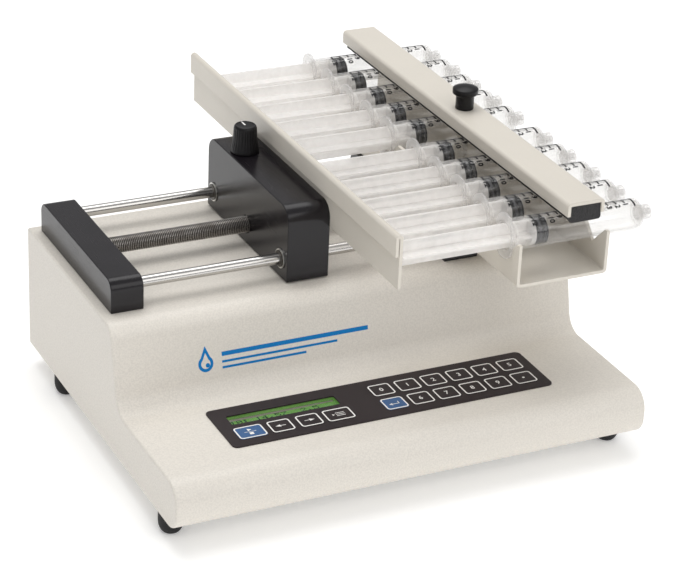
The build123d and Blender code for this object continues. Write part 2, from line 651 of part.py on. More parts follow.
# ---------------------------------------------------------------- carriage
def pusher_block():
    block = upright_block(PUSH_X, PUSH_HALF, *PUSH_Z, PUSH_R)
    block = chamfer(edges_at_x(block, PUSH_X[0]), 0.35)
    for y in ROD_Y:
        block -= cyl_x(BUSH_R, *grow(PUSH_X, 1), y, AXIS_Z)
    block -= cyl_x(5.4, *grow(PUSH_X, 1), MID_Y, AXIS_Z)
    # Half-nut pocket, retainer recess and release shaft bore
    block -= box(*grow(NUT_X, 0.2), MID_Y - 7.7, MID_Y + 41.3, PUSH_Z[0] - 1, 94.0)
    block -= box(*grow(RETAINER_X, 0.1), *grow(RETAINER_Y, 0.1), PUSH_Z[0] - 1, PUSH_Z[0] + 1.55)
    block -= cyl_z(3.05, 93, PUSH_Z[1] + 1, KNOB_X, KNOB_Y)
    for y in PLATE_SCREW_Y:
        block -= cyl_x(M4_CLOSE, PUSH_X[1] - 9, PUSH_X[1] + 1, y, PLATE_SCREW_Z)
    return block


def nut_retainer():
    return box(*RETAINER_X, *RETAINER_Y, PUSH_Z[0] + 0.02, PUSH_Z[0] + 1.5)


def guide_bushings():
    return [tube_x(BUSH_R - BUSH_FIT, ROD_R + 0.04, PUSH_X[0] - 1.2, PUSH_X[1], y, AXIS_Z)
            for y in ROD_Y]


def bushing_clips():
    return [tube_x(5.6, BUSH_R, PUSH_X[0] - 0.75, PUSH_X[0] - 0.02, y, AXIS_Z) for y in ROD_Y]


def pusher_plate():
    """Plate whose top edge is folded back down over its left side."""
    x0, x1 = PUSH_X[1], PLATE_FRONT_X
    hem_x = x0 - HEM_GAP - PLATE_T
    fold_r = (PLATE_T * 2 + HEM_GAP) / 2
    fold_x = (hem_x + x1) / 2
    fold_z = HEM_TOP - fold_r
    plate = box(x0, x1, *ROW_Y, PLATE_Z0, fold_z)
    plate += box(hem_x, hem_x + PLATE_T, *ROW_Y, HEM_Z0, fold_z)
    crown = cyl_y(fold_r, *ROW_Y, fold_x, fold_z)
    crown -= cyl_y(HEM_GAP / 2, *grow(ROW_Y, 1), fold_x, fold_z)
    crown -= box(hem_x - 1, x1 + 1, *grow(ROW_Y, 1), fold_z - 5, fold_z)
    plate += crown
    for y in PLATE_SCREW_Y:
        plate -= cyl_x(M4_CLEAR, x0 - 1, x1 + 1, y, PLATE_SCREW_Z)
    return plate


def plate_screws():
    x1 = PLATE_FRONT_X
    return [screw(cyl_x, M4_PLATE, (x1, x1 + 1.9), (PUSH_X[1] - 8, x1 + 0.5), y, PLATE_SCREW_Z)
            for y in PLATE_SCREW_Y]


def half_nut():
    nut = box(*NUT_X, MID_Y, MID_Y + 38.3, PUSH_Z[0] + 1.75, 92.0)
    nut -= cyl_x(SCREW_R + 0.05, 100, 140, MID_Y, AXIS_Z)
    slot = rect(KNOB_X - 2.4, KNOB_X + CAM_OFFSET + 2.4, *span(KNOB_Y, 2.4))
    return nut - prism_z(slot, [0.5] * 4, 70, 95)


def release_shaft():
    shaft = cyl_z(3.0, 93.5, RELEASE_TOP, KNOB_X, KNOB_Y)
    shaft += cyl_z(4.4, 92.15, 93.9, KNOB_X, KNOB_Y)
    return shaft + cyl_z(1.8, 79.0, 93.0, KNOB_X + CAM_OFFSET, KNOB_Y)


def release_knob():
    z0 = PUSH_Z[1] + 0.25
    bore_top = RELEASE_TOP + 0.05
    return turned_z([
        (3.0, z0), (8.2, z0), (8.1, z0 + 1.6), (7.55, z0 + 4.6), (7.0, z0 + 7.6),
        (6.6, z0 + 15.2), (6.0, z0 + 16.1), (0, z0 + 16.1), (0, bore_top), (3.0, bore_top),
    ], KNOB_X, KNOB_Y)


# ---------------------------------------------------------------- clamp
def clamp_bar():
    (x0, x1), (z0, z1) = BAR_X, BAR_Z
    channel = [(x0, z0), (x0, z1), (x1, z1), (x1, z0), (x1 - BAR_T, z0),
               (x1 - BAR_T, z1 - BAR_T), (x0 + BAR_T, z1 - BAR_T), (x0 + BAR_T, z0)]
    bar = prism_y(channel, [0, 2.2, 2.2, 0, 0, 0.5, 0.5, 0], *ROW_Y)
    return bar - cyl_z(CLAMP_R + 0.08, 120, 145, CLAMP_X, MID_Y)


def clamp_foam():
    section = rect(*grow(BAR_X, -BAR_T - 0.1), FOAM_Z0, BAR_Z[1] - BAR_T - 0.01)
    foam = prism_y(section, [0, 0, 0.9, 0.9], *grow(ROW_Y, -0.6))
    return foam - cyl_z(4.4, 120, 140, CLAMP_X, MID_Y)


def clamp_screw():
    return cyl_z(CLAMP_R, *CLAMP_Z, CLAMP_X, MID_Y)


def clamp_knob():
    z0 = BAR_Z[1] + 0.05
    bore_top = CLAMP_Z[1] + 0.02
    return turned_z([
        (CLAMP_R, z0), (5.4, z0), (5.3, z0 + 8.2), (7.2, z0 + 9.2), (7.5, z0 + 9.5),
        (7.5, z0 + 12.2), (7.2, z0 + 12.7), (6.2, z0 + 13.3), (4.5, z0 + 13.8),
        (2.4, z0 + 14.15), (0, z0 + 14.3), (0, bore_top), (CLAMP_R, bore_top),
    ], CLAMP_X, MID_Y)


# ---------------------------------------------------------------- write
def write(name, made):
    shapes = made if isinstance(made, list) else [made]
    solids = [PLACE * solid for shape in shapes for solid in shape.solids()]
    part = Compound(children=solids) if len(solids) > 1 else solids[0]
    export_step(part, f"parts/{name}.step")


# Each function is named after the file it fills
PIECES = [
    housing_shell, base_plate, rear_panel, rubber_feet, m3_screws,
    left_end_block, right_end_block, m4_screws, guide_rods, screw_bushings,
    lead_screw, leadscrew_pulley, motor_pulley, timing_belt,
    stepper_motor, motor_shaft, motor_bracket,
    main_board, board_standoffs, power_transformer,
    keypad_overlay, keypad_board, lcd_module, lcd_window,
    power_inlet, power_rocker, serial_connector,
    syringe_rack, syringe_barrels, plunger_rods, plunger_stoppers,
    pusher_block, nut_retainer, guide_bushings, bushing_clips, pusher_plate, plate_screws,
    half_nut, release_shaft, release_knob,
    clamp_bar, clamp_foam, clamp_screw, clamp_knob,
]

os.makedirs("parts", exist_ok=True)
for build in PIECES:
    write(build.__name__, build())
for name, (x, y, size) in KEYS.items():
    write(name, key(x, y, size))
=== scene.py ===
"""Looks for the ten-channel bench-top syringe pump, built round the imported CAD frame.

x runs from the left wall to the right, y from the front lip to the back, z is up.
The syringes, guide rods and lead screw lie along x; the ten syringes are spaced along y.
Shapes are drawn in mm from the low corner of the housing shell and placed in metres.
"""

import json
import math
from functools import cache

import bmesh
import bpy
from mathutils import Matrix, Vector, noise
from mathutils.bvhtree import BVHTree


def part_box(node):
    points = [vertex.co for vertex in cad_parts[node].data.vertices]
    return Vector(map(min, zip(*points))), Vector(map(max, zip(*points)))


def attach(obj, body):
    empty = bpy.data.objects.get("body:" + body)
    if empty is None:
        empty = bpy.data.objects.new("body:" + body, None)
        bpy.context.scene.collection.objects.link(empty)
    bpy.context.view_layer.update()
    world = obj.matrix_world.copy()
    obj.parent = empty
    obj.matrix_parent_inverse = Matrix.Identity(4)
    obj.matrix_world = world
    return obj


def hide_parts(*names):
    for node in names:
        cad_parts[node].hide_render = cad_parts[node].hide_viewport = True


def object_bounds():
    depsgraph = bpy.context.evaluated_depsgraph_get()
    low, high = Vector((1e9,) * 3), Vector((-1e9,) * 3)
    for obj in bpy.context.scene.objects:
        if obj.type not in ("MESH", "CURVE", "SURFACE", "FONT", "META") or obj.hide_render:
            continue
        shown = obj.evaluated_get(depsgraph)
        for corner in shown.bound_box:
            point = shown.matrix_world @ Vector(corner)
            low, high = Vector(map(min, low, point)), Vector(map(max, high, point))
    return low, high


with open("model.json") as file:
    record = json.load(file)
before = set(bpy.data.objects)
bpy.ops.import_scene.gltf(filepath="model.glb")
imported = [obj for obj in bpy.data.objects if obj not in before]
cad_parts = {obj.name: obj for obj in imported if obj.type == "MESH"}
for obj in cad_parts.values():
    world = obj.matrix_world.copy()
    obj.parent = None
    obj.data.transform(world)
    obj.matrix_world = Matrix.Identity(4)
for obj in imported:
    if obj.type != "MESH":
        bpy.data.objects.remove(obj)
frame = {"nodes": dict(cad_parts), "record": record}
CAD = frame["nodes"]
CAD_LO, CAD_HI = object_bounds()
SLOTS = {sub["node"]: sub["material_slot"] for sub in frame["record"]["subparts"]}
MM = 0.001
ORIGIN = Vector(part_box("housing_shell")[0])
scene = bpy.context.scene


def point(x, y, z):
    """A drawing point in mm, placed in the CAD frame in metres."""
    return ORIGIN + Vector((x, y, z)) * MM


def box_mm(node):
    """The low and high corners of a CAD piece in drawing coordinates."""
    low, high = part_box(node)
    return (Vector(low) - ORIGIN) / MM, (Vector(high) - ORIGIN) / MM


def middle(a, b):
    return (a + b) / 2


# ================================================================ driving dimensions, mm
BARREL_RADIUS = 8.75
BORE_RADIUS = 7.85
TIP_LENGTH = 7.8         # from the barrel's closed end to the nozzle tip

SYRINGE_PITCH = 27.0
SYRINGES_PER_GROUP = 5
ROD_ROW_MARGIN = 9.1     # from either end of the plunger rods' box to the nearest centre

ZERO_MARK_X = 282.4
DIVISION = 5.25          # between numbered marks
DIVISIONS = 12
MARKS_PER_DIVISION = 5

LCD_LEFT, LCD_RIGHT = 52.0, 115.7
LCD_FRONT, LCD_BACK = 49.8, 59.4
LCD_FLOOR = 25.1
LCD_THICKNESS = 0.35


def syringe_centres():
    """The y of each syringe, in a front and a back group, and their common z."""
    low, high = box_mm("plunger_rods")
    first, last = low.y + ROD_ROW_MARGIN, high.y - ROD_ROW_MARGIN
    steps = range(SYRINGES_PER_GROUP)
    front = [first + SYRINGE_PITCH * k for k in steps]
    back = [last - SYRINGE_PITCH * k for k in reversed(steps)]
    return front + back, middle(low.z, high.z)


SYRINGE_YS, SYRINGE_Z = syringe_centres()


# ================================================================ shader helpers
class Mat:
    """A small node-tree builder. coord is the object coordinate in metres."""

    def __init__(self, name):
        self.material = bpy.data.materials.new("mat_" + name)
        self.material.use_nodes = True
        self.tree = self.material.node_tree
        self.tree.nodes.clear()
        self.output = self.tree.nodes.new("ShaderNodeOutputMaterial")
        self.coord = self.tree.nodes.new("ShaderNodeTexCoord").outputs["Object"]

    def put(self, socket, value):
        """Links a node or socket, or sets a plain value; colours gain an alpha of 1."""
        if isinstance(value, bpy.types.Node):
            value = value.outputs[0]
        if isinstance(value, bpy.types.NodeSocket):
            self.tree.links.new(value, socket)
        elif isinstance(value, tuple) and len(value) == 3 and len(socket.default_value) == 4:
            socket.default_value = (*value, 1.0)
        else:
            socket.default_value = value

    def node(self, kind, props=None, **inputs):
        """Adds a node. Inputs go by name, or by index as i0, i1; None leaves one alone."""
        added = self.tree.nodes.new("ShaderNode" + kind)
        for key, value in (props or {}).items():
            setattr(added, key, value)
        for key, value in inputs.items():
            if value is not None:
                by_index = key[0] == "i" and key[1:].isdigit()
                self.put(added.inputs[int(key[1:]) if by_index else key.replace("_", " ")], value)
        return added

    def mapped(self, scale):
        return self.node("Mapping", Vector=self.coord, Scale=scale).outputs[0]

    def axes(self):
        return self.node("SeparateXYZ", Vector=self.coord).outputs

    def noise(self, scale, detail=2.0, rough=0.5, vector=None, distortion=0.0):
        return self.node("TexNoise", Vector=vector or self.coord, Scale=scale, Detail=detail,
                         Roughness=rough, Distortion=distortion).outputs[0]

    def voronoi(self, scale):
        return self.node("TexVoronoi", Vector=self.coord, Scale=scale).outputs["Distance"]

    def wave(self, scale, distortion=0.0):
        return self.node("TexWave", {"wave_type": "BANDS", "bands_direction": "X"},
                         Vector=self.coord, Scale=scale, Distortion=distortion).outputs[0]

    def ramp(self, value, span, to=(0.0, 1.0)):
        """Maps value from span to the range `to`, clamped."""
        return self.node("MapRange", i0=value, i1=span[0], i2=span[1],
                         i3=to[0], i4=to[1]).outputs[0]

    def math(self, operation, a, b=0.0):
        return self.node("Math", {"operation": operation}, i0=a, i1=b).outputs[0]

    def add(self, a, b):
        return self.math("ADD", a, b)

    def times(self, a, b):
        return self.math("MULTIPLY", a, b)

    def band(self, value, centre, half):
        """1 where value lies within half of centre, else 0."""
        return self.node("Math", {"operation": "COMPARE"}, i0=value, i1=centre, i2=half).outputs[0]

    def mix(self, factor, a, b):
        return self.node("Mix", {"data_type": "RGBA"}, i0=factor, i6=a, i7=b).outputs[2]

    def bump(self, height, distance, strength=1.0, edge=None):
        """Bumps the surface; edge is the radius that softens its sharp corners, in metres."""
        bevel = self.node("Bevel", {"samples": 4}, Radius=edge) if edge else None
        return self.node("Bump", Height=height, Distance=distance, Strength=strength,
                         Normal=bevel).outputs[0]

    def facing(self):
        return self.node("LayerWeight", Blend=0.5).outputs["Facing"]

    def fresnel(self, facing, rise, base, weight):
        """Reflection that grows from base by rise towards grazing angles, times weight."""
        grazing = self.math("POWER", facing, 5.0)
        return self.times(self.add(self.times(grazing, rise), base), weight)

    def principled(self, color, rough, metal=0.0, normal=None, **more):
        return self.node("BsdfPrincipled", Base_Color=color, Roughness=rough, Metallic=metal,
                         Normal=normal, **more)

    def done(self, shader):
        self.put(self.output.inputs[0], shader)
        return self.material

    def surface(self, color, rough, **more):
        return self.done(self.principled(color, rough, **more))


def linear(*srgb):
    """sRGB 0..255 to linear."""
    def channel(c):
        c = c / 255
        return c / 12.92 if c <= 0.04045 else ((c + 0.055) / 1.055) ** 2.4
    return tuple(channel(c) for c in srgb)


def scaled(color, factor, lift=0.0):
    return tuple(c * factor + lift for c in color)


# ================================================================ materials
def case_paint():
    """Grained cream powder coat."""
    color = (0.765, 0.725, 0.660)
    m = Mat("case_paint")
    broad = m.noise(scale=9, detail=3, rough=0.55)
    fine = m.noise(scale=1050, detail=2.5, rough=0.55)
    coarse = m.noise(scale=378, detail=2, rough=0.5)
    peel = m.add(m.times(fine, 0.62), m.times(coarse, 0.38))
    tone = m.mix(m.ramp(fine, span=(0.36, 0.62)), scaled(color, 0.92), scaled(color, 1.03))
    tone = m.mix(m.ramp(broad, span=(0.35, 0.7), to=(0.0, 0.35)), tone, scaled(color, 0.955))
    rough = m.add(m.ramp(coarse, span=(0.3, 0.7), to=(0.38, 0.49)),
                  m.ramp(broad, span=(0.3, 0.7), to=(-0.02, 0.02)))
    normal = m.bump(peel, distance=0.00013, strength=0.9, edge=0.0008)
    return m.surface(tone, rough, normal=normal, Specular_IOR_Level=0.42)


def beige_paint():
    """Smooth baked enamel on bent sheet, with a faint orange peel and a few dust nibs."""
    color = (0.735, 0.690, 0.612)
    m = Mat("beige_paint")
    broad = m.noise(scale=14, detail=3)
    peel = m.noise(scale=330)
    nib = m.ramp(m.voronoi(scale=240), span=(0.0, 0.10), to=(1.0, 0.0))
    tone = m.mix(m.ramp(broad, span=(0.35, 0.68)), color, scaled(color, 0.955))
    speck = m.ramp(m.noise(scale=1500), span=(0.4, 0.62), to=(0.0, 0.22))
    tone = m.mix(speck, tone, scaled(color, 0.90))
    height = m.add(peel, m.times(nib, 0.35))
    return m.surface(tone, m.ramp(peel, span=(0.3, 0.7), to=(0.32, 0.42)),
                     normal=m.bump(height, distance=0.00005, strength=0.8, edge=0.0005),
                     Specular_IOR_Level=0.45, Coat_Weight=0.12, Coat_Roughness=0.25)


def black_anodised():
    """Black anodised milled aluminium: dark, with a satin mirror and fine cutter marks."""
    m = Mat("black_anodised")
    lines = m.noise(scale=1.0, detail=3, rough=0.6, vector=m.mapped((900, 60, 2600)))
    fine = m.noise(scale=3800, rough=0.6)
    broad = m.noise(scale=26, detail=3, rough=0.55)
    tone = m.mix(m.ramp(broad, span=(0.3, 0.7)),
                 (0.0052, 0.0040, 0.0056), (0.0100, 0.0082, 0.0106))
    rough = m.add(m.ramp(lines, span=(0.3, 0.7), to=(0.17, 0.25)),
                  m.ramp(broad, span=(0.35, 0.7), to=(0.0, 0.05)))
    height = m.add(lines, m.times(fine, 0.6))
    normal = m.bump(height, distance=0.000012, strength=0.6, edge=0.0007)
    return m.surface(tone, rough, normal=normal, IOR=1.44)


def metal(name, color, rough, lines, relief=0.00001, stain=0.92, edge=0.0003, spread=0.05):
    """Bare metal. lines is the streak frequency along x, y, z; stain darkens broad patches."""
    m = Mat(name)
    streak = m.noise(scale=1.0, detail=3, rough=0.6, vector=m.mapped(lines))
    broad = m.noise(scale=40, detail=3, rough=0.6)
    return m.surface(
        m.mix(m.ramp(broad, span=(0.35, 0.7)), color, scaled(color, stain)),
        m.ramp(streak, span=(0.3, 0.7), to=(rough - spread, rough + spread)),
        metal=1.0, normal=m.bump(streak, distance=relief, strength=0.5, edge=edge))


def screw_steel():
    """Rolled lead screw: bright crests, dark roots and darker oily patches."""
    m = Mat("screw_steel")
    low, high = box_mm("lead_screw")
    axis = point(0, middle(low.y, high.y), middle(low.z, high.z))
    offset = m.node("VectorMath", {"operation": "SUBTRACT"}, i0=m.coord, i1=(0, axis.y, axis.z))
    across = m.node("VectorMath", {"operation": "MULTIPLY"}, i0=offset, i1=(0, 1, 1))
    radius = m.node("VectorMath", {"operation": "LENGTH"}, i0=across).outputs["Value"]
    crest = m.ramp(radius, span=(0.00425, 0.00472))
    oil = m.noise(scale=160, detail=3)
    # darker towards the thread roots, set by the distance from the axis
    tone = m.mix(crest, (0.075, 0.066, 0.058), (0.50, 0.475, 0.45))
    tone = m.mix(m.ramp(oil, span=(0.45, 0.7), to=(0.0, 0.4)), tone, (0.12, 0.10, 0.085))
    return m.surface(tone, m.ramp(oil, span=(0.3, 0.7), to=(0.26, 0.40)), metal=0.92,
                     normal=m.bump(m.noise(scale=4000), distance=0.00001))


def moulded(name, color, rough, grain=2600, relief=0.000012, specular=0.5):
    """Injection-moulded plastic: light texture, slight flow marks."""
    m = Mat(name)
    texture = m.noise(scale=grain, rough=0.55)
    flow = m.noise(scale=60, detail=3, rough=0.6, distortion=0.6)
    tone = m.mix(m.ramp(flow, span=(0.35, 0.7)), color, scaled(color, 1.22, lift=0.0012))
    return m.surface(tone, m.ramp(flow, span=(0.3, 0.7), to=(rough - 0.04, rough + 0.06)),
                     normal=m.bump(texture, distance=relief, strength=0.7, edge=0.0003),
                     Specular_IOR_Level=specular)


def film(name, color, rough, specular=0.20):
    """Printed polycarbonate film with a velvet surface."""
    m = Mat(name)
    velvet = m.noise(scale=5200, rough=0.6)
    broad = m.noise(scale=30)
    tone = m.mix(m.ramp(broad, span=(0.35, 0.68)), color, scaled(color, 1.16, lift=0.001))
    tone = m.mix(m.ramp(velvet, span=(0.45, 0.7), to=(0.0, 0.2)), tone,
                 scaled(color, 1.5, lift=0.004))
    return m.surface(tone, m.ramp(velvet, span=(0.3, 0.7), to=(rough - 0.05, rough + 0.05)),
                     normal=m.bump(velvet, distance=0.000010, strength=0.6),
                     Specular_IOR_Level=specular)


def ink(name, color, rough=0.45):
    m = Mat(name)
    grain = m.noise(scale=6000)
    tone = m.mix(m.ramp(grain, span=(0.4, 0.62)), color, scaled(color, 0.86))
    return m.surface(tone, m.ramp(grain, span=(0.3, 0.7), to=(rough - 0.05, rough + 0.07)),
                     normal=m.bump(grain, distance=0.000006, strength=0.5),
                     Specular_IOR_Level=0.18)


def black_rubber():
    color = (0.014, 0.014, 0.015)
    m = Mat("black_rubber")
    grain = m.noise(scale=1800, detail=3, rough=0.6)
    dust = m.ramp(m.noise(scale=70, detail=4, rough=0.6), span=(0.5, 0.78), to=(0.0, 0.35))
    return m.surface(m.mix(dust, color, scaled(color, 1.8, lift=0.012)),
                     m.ramp(grain, span=(0.3, 0.7), to=(0.56, 0.70)),
                     normal=m.bump(grain, distance=0.00003, strength=0.7),
                     Specular_IOR_Level=0.32)


def foam_rubber():
    m = Mat("foam_rubber")
    cells = m.voronoi(scale=1700)
    height = m.add(m.times(cells, 0.6), m.times(m.voronoi(scale=620), 0.4))
    tone = m.mix(m.ramp(cells, span=(0.1, 0.55)), (0.006, 0.006, 0.0065), (0.028, 0.027, 0.028))
    return m.surface(tone, rough=0.95, normal=m.bump(height, distance=0.00035),
                     Specular_IOR_Level=0.12, Sheen_Weight=0.25, Sheen_Roughness=0.6)


def belt_rubber():
    m = Mat("belt_rubber")
    bands = m.wave(scale=600.0, distortion=0.4)
    tone = m.mix(m.ramp(bands, span=(0.2, 0.8)), (0.012, 0.012, 0.013), (0.026, 0.025, 0.026))
    return m.surface(tone, rough=0.6, normal=m.bump(bands, distance=0.00003, strength=0.6),
                     Specular_IOR_Level=0.3)


def board_green():
    m = Mat("board_green")
    weave = m.voronoi(scale=900)
    brick = m.node("TexBrick", Vector=m.mapped((220, 220, 220)), Scale=1.0).outputs["Fac"]
    traces = m.ramp(brick, span=(0.4, 0.6))
    tone = m.mix(m.ramp(weave, span=(0.1, 0.6)), (0.012, 0.10, 0.035), (0.02, 0.15, 0.05))
    tone = m.mix(m.times(traces, 0.5), tone, (0.03, 0.21, 0.07))
    return m.surface(tone, rough=0.35,
                     normal=m.bump(weave, distance=0.00002, strength=0.5, edge=0.0003))


def motor_metal():
    """Dark laminations across the middle of the motor, bright metal at both ends."""
    m = Mat("motor_metal")
    low, high = box_mm("stepper_motor")
    centre = point(middle(low.x, high.x), 0, 0).x
    from_centre = m.math("ABSOLUTE", m.math("SUBTRACT", m.axes()[0], centre))
    tone = m.mix(m.ramp(from_centre, span=(0.008, 0.0085)),
                 (0.05, 0.05, 0.055), (0.55, 0.55, 0.55))
    normal = m.bump(m.wave(scale=900.0), distance=0.00003, strength=0.5, edge=0.0006)
    return m.surface(tone, rough=0.38, metal=0.85, normal=normal)


def transformer():
    m = Mat("transformer")
    bands = m.wave(scale=700.0, distortion=0.2)
    grain = m.noise(scale=900, detail=3)
    tone = m.mix(m.ramp(bands, span=(0.3, 0.8)), (0.10, 0.085, 0.06), (0.22, 0.20, 0.17))
    tone = m.mix(m.ramp(grain, span=(0.5, 0.7), to=(0, 0.4)), tone, (0.05, 0.035, 0.02))
    return m.surface(tone, rough=0.45, metal=0.5,
                     normal=m.bump(bands, distance=0.00005, strength=0.6, edge=0.0005))


def display_glass():
    """Reflective green liquid-crystal glass with a fine cell grid, and a painted glow that makes up
    for the shade in its recess.
    """
    m = Mat("display")
    x, y, _ = m.axes()
    columns = m.math("PINGPONG", m.times(x, 1600.0), 0.5)
    rows = m.math("PINGPONG", m.times(y, 1450.0), 0.5)
    grid = m.ramp(m.math("MINIMUM", columns, rows), span=(0.0, 0.10), to=(0.45, 0.0))
    tone = m.mix(m.ramp(m.noise(scale=22), span=(0.35, 0.65)),
                 (0.125, 0.265, 0.062), (0.165, 0.33, 0.085))
    tone = m.mix(grid, tone, (0.07, 0.17, 0.04))
    # painted glow: the unlit reflective glass emits its own colour to make up for the shade in its
    # recess
    return m.surface(tone, rough=0.22, Specular_IOR_Level=0.3, Emission_Color=tone,
                     Emission_Strength=0.42)


def clear_window():
    m = Mat("clear_window")
    reflection = m.fresnel(m.facing(), rise=0.6, base=0.03, weight=0.45)
    smear = m.ramp(m.noise(scale=45, detail=3), span=(0.4, 0.75), to=(0.02, 0.10))
    gloss = m.node("BsdfGlossy", Color=(1, 1, 1), Roughness=smear)
    clear = m.node("BsdfTransparent", Color=(0.93, 0.94, 0.93))
    return m.done(m.node("MixShader", i0=reflection, i1=clear, i2=gloss))


def milky(name, tint, veil_face, veil_rim, power, gloss_rough, gloss, translucent, glow, bands=()):
    """Natural polypropylene: each wall veils what is behind it, under a soft gloss.

    The veil rises from veil_face, seen square on, to veil_rim at a grazing angle.
    bands lists (start x, end x, extra veil), with x in metres.
    """
    m = Mat(name)
    facing = m.facing()
    veil = m.ramp(m.math("POWER", facing, power), span=(0.0, 1.0), to=(veil_face, veil_rim))
    cloud = m.noise(scale=120, detail=3, rough=0.6)
    veil = m.times(veil, m.ramp(cloud, span=(0.3, 0.7), to=(0.90, 1.08)))
    if bands:
        x = m.axes()[0]
        for start, end, extra in bands:
            inside = m.band(x, centre=(start + end) / 2, half=(end - start) / 2)
            veil = m.add(veil, m.times(inside, extra))
    normal = m.bump(m.noise(scale=900), distance=0.000012, strength=0.5)
    diffuse = m.node("BsdfDiffuse", Color=tint, Normal=normal)
    through = m.node("BsdfTranslucent", Color=tint, Normal=normal)
    body = m.node("MixShader", i0=translucent, i1=diffuse, i2=through)
    # light scattered along inside the wall, which single bounces miss
    body = m.node("AddShader", i0=body, i1=m.node("Emission", Color=tint, Strength=glow))
    clear = m.node("BsdfTransparent", Color=(0.972, 0.970, 0.967))
    veiled = m.node("MixShader", i0=veil, i1=clear, i2=body)
    shine = m.node("BsdfGlossy", Color=(1, 1, 1), Roughness=gloss_rough, Normal=normal)
    reflection = m.fresnel(facing, rise=0.75, base=0.04, weight=gloss)
    return m.done(m.node("MixShader", i0=reflection, i1=veiled, i2=shine))


def clear_polypropylene():
    """The barrels: milkier at the finger flange and round the luer-lock collar."""
    low, high = box_mm("syringe_barrels")
    flange = (point(low.x - 0.5, 0, 0).x, point(low.x + 2.1, 0, 0).x, 0.24)
    collar = (point(high.x - 7.9, 0, 0).x, point(high.x + 0.5, 0, 0).x, 0.22)
    return milky("clear_polypropylene", tint=(0.84, 0.83, 0.82), veil_face=0.040, veil_rim=0.62,
                 power=3.2, gloss_rough=0.10, gloss=1.0, translucent=0.5, glow=0.02,
                 bands=(flange, collar))


def stopper_rubber():
    """Black rubber; the ribs squeezed on the barrel look black, and the grooves are painted grey
    for the light scattered in the gap under the barrel wall.
    """
    m = Mat("stopper_rubber")
    start = point(box_mm("plunger_stoppers")[0].x, 0, 0).x
    x = m.axes()[0]
    # centre from the stopper's left end and half width, mm
    ribs = [m.band(x, centre=start + centre * MM, half=half * MM)
            for centre, half in ((0.95, 0.75), (4.25, 0.85), (6.75, 0.60))]
    ribbed = m.math("MAXIMUM", m.math("MAXIMUM", ribs[0], ribs[1]), ribs[2])
    grain = m.noise(scale=1800, detail=3, rough=0.6)
    # painted light: grey in the grooves stands in for light scattered under the barrel wall; the
    # ribs stay near black
    tone = m.mix(ribbed, (0.052, 0.052, 0.058), (0.0020, 0.0020, 0.0028))
    tone = m.mix(m.ramp(grain, span=(0.45, 0.7), to=(0.0, 0.3)), tone, (0.03, 0.03, 0.032))
    return m.surface(tone, rough=0.5, normal=m.bump(grain, distance=0.00002, strength=0.5),
                     Specular_IOR_Level=0.10)


# One material for each CAD material slot.
MATERIALS = {
    "case_paint": case_paint(),
    "beige_paint": beige_paint(),
    "plated_steel": metal("plated_steel", (0.66, 0.65, 0.62), rough=0.30, lines=(350, 350, 350)),
    "black_anodised": black_anodised(),
    "polished_steel": metal("polished_steel", (0.60, 0.585, 0.565), rough=0.16,
                            lines=(4200, 260, 260), relief=0.000004, stain=0.96,
                            edge=0.0002, spread=0.04),
    "screw_steel": screw_steel(),
    "bronze": metal("bronze", (0.56, 0.38, 0.19), rough=0.36, lines=(700, 700, 700),
                    relief=0.00002, stain=0.80),
    "black_rubber": black_rubber(),
    "foam_rubber": foam_rubber(),
    "belt_rubber": belt_rubber(),
    "overlay_black": film("overlay_black", (0.0235, 0.0165, 0.0180), rough=0.42),
    "key_black": film("key_black", (0.0215, 0.0150, 0.0165), rough=0.36),
    "key_blue": film("key_blue", linear(52, 88, 132), rough=0.36, specular=0.3),
    "knob_black": moulded("knob_black", (0.0042, 0.0038, 0.0044), rough=0.34, specular=0.27),
    "connector_black": moulded("connector_black", (0.016, 0.016, 0.017), rough=0.46,
                               grain=1400, relief=0.00003),
    "board_green": board_green(),
    "display": display_glass(),
    "clear_window": clear_window(),
    "clear_polypropylene": clear_polypropylene(),
    "plunger_plastic": milky("plunger_plastic", tint=(0.95, 0.935, 0.92), veil_face=0.60,
                             veil_rim=0.92, power=2.2, gloss_rough=0.24, gloss=0.8,
                             translucent=0.45, glow=0.045),
    "motor_metal": motor_metal(),
    "transformer": transformer(),
}
INK_BLACK = ink("ink_black", (0.008, 0.008, 0.010))
INK_WHITE = ink("ink_white", (0.93, 0.92, 0.89))
INK_BLUE = ink("ink_blue", (0.004, 0.205, 0.560))
INK_LCD = ink("lcd_segment", (0.006, 0.014, 0.008), rough=0.3)
PALE_EDGE = moulded("lcd_edge", (0.285, 0.245, 0.215), rough=0.40)
DARK_BUSHING = metal("dark_bushing", (0.075, 0.068, 0.060), rough=0.34, lines=(700, 700, 700),
                     relief=0.00002, stain=0.80)
STOPPER = stopper_rubber()


def paint(node, material):
    slots = CAD[node].data.materials
    slots.clear()
    slots.append(material)


for node, slot in SLOTS.items():
    paint(node, MATERIALS[slot])
paint("guide_bushings", DARK_BUSHING)


# ================================================================ mesh helpers
def circle(radius, segments):
    """Points round a circle; radius may be a function of the angle."""
    points = []
    for i in range(segments):
        angle = 2 * math.pi * i / segments
        r = radius(angle) if callable(radius) else radius
        points.append((r * math.cos(angle), r * math.sin(angle)))
    return points


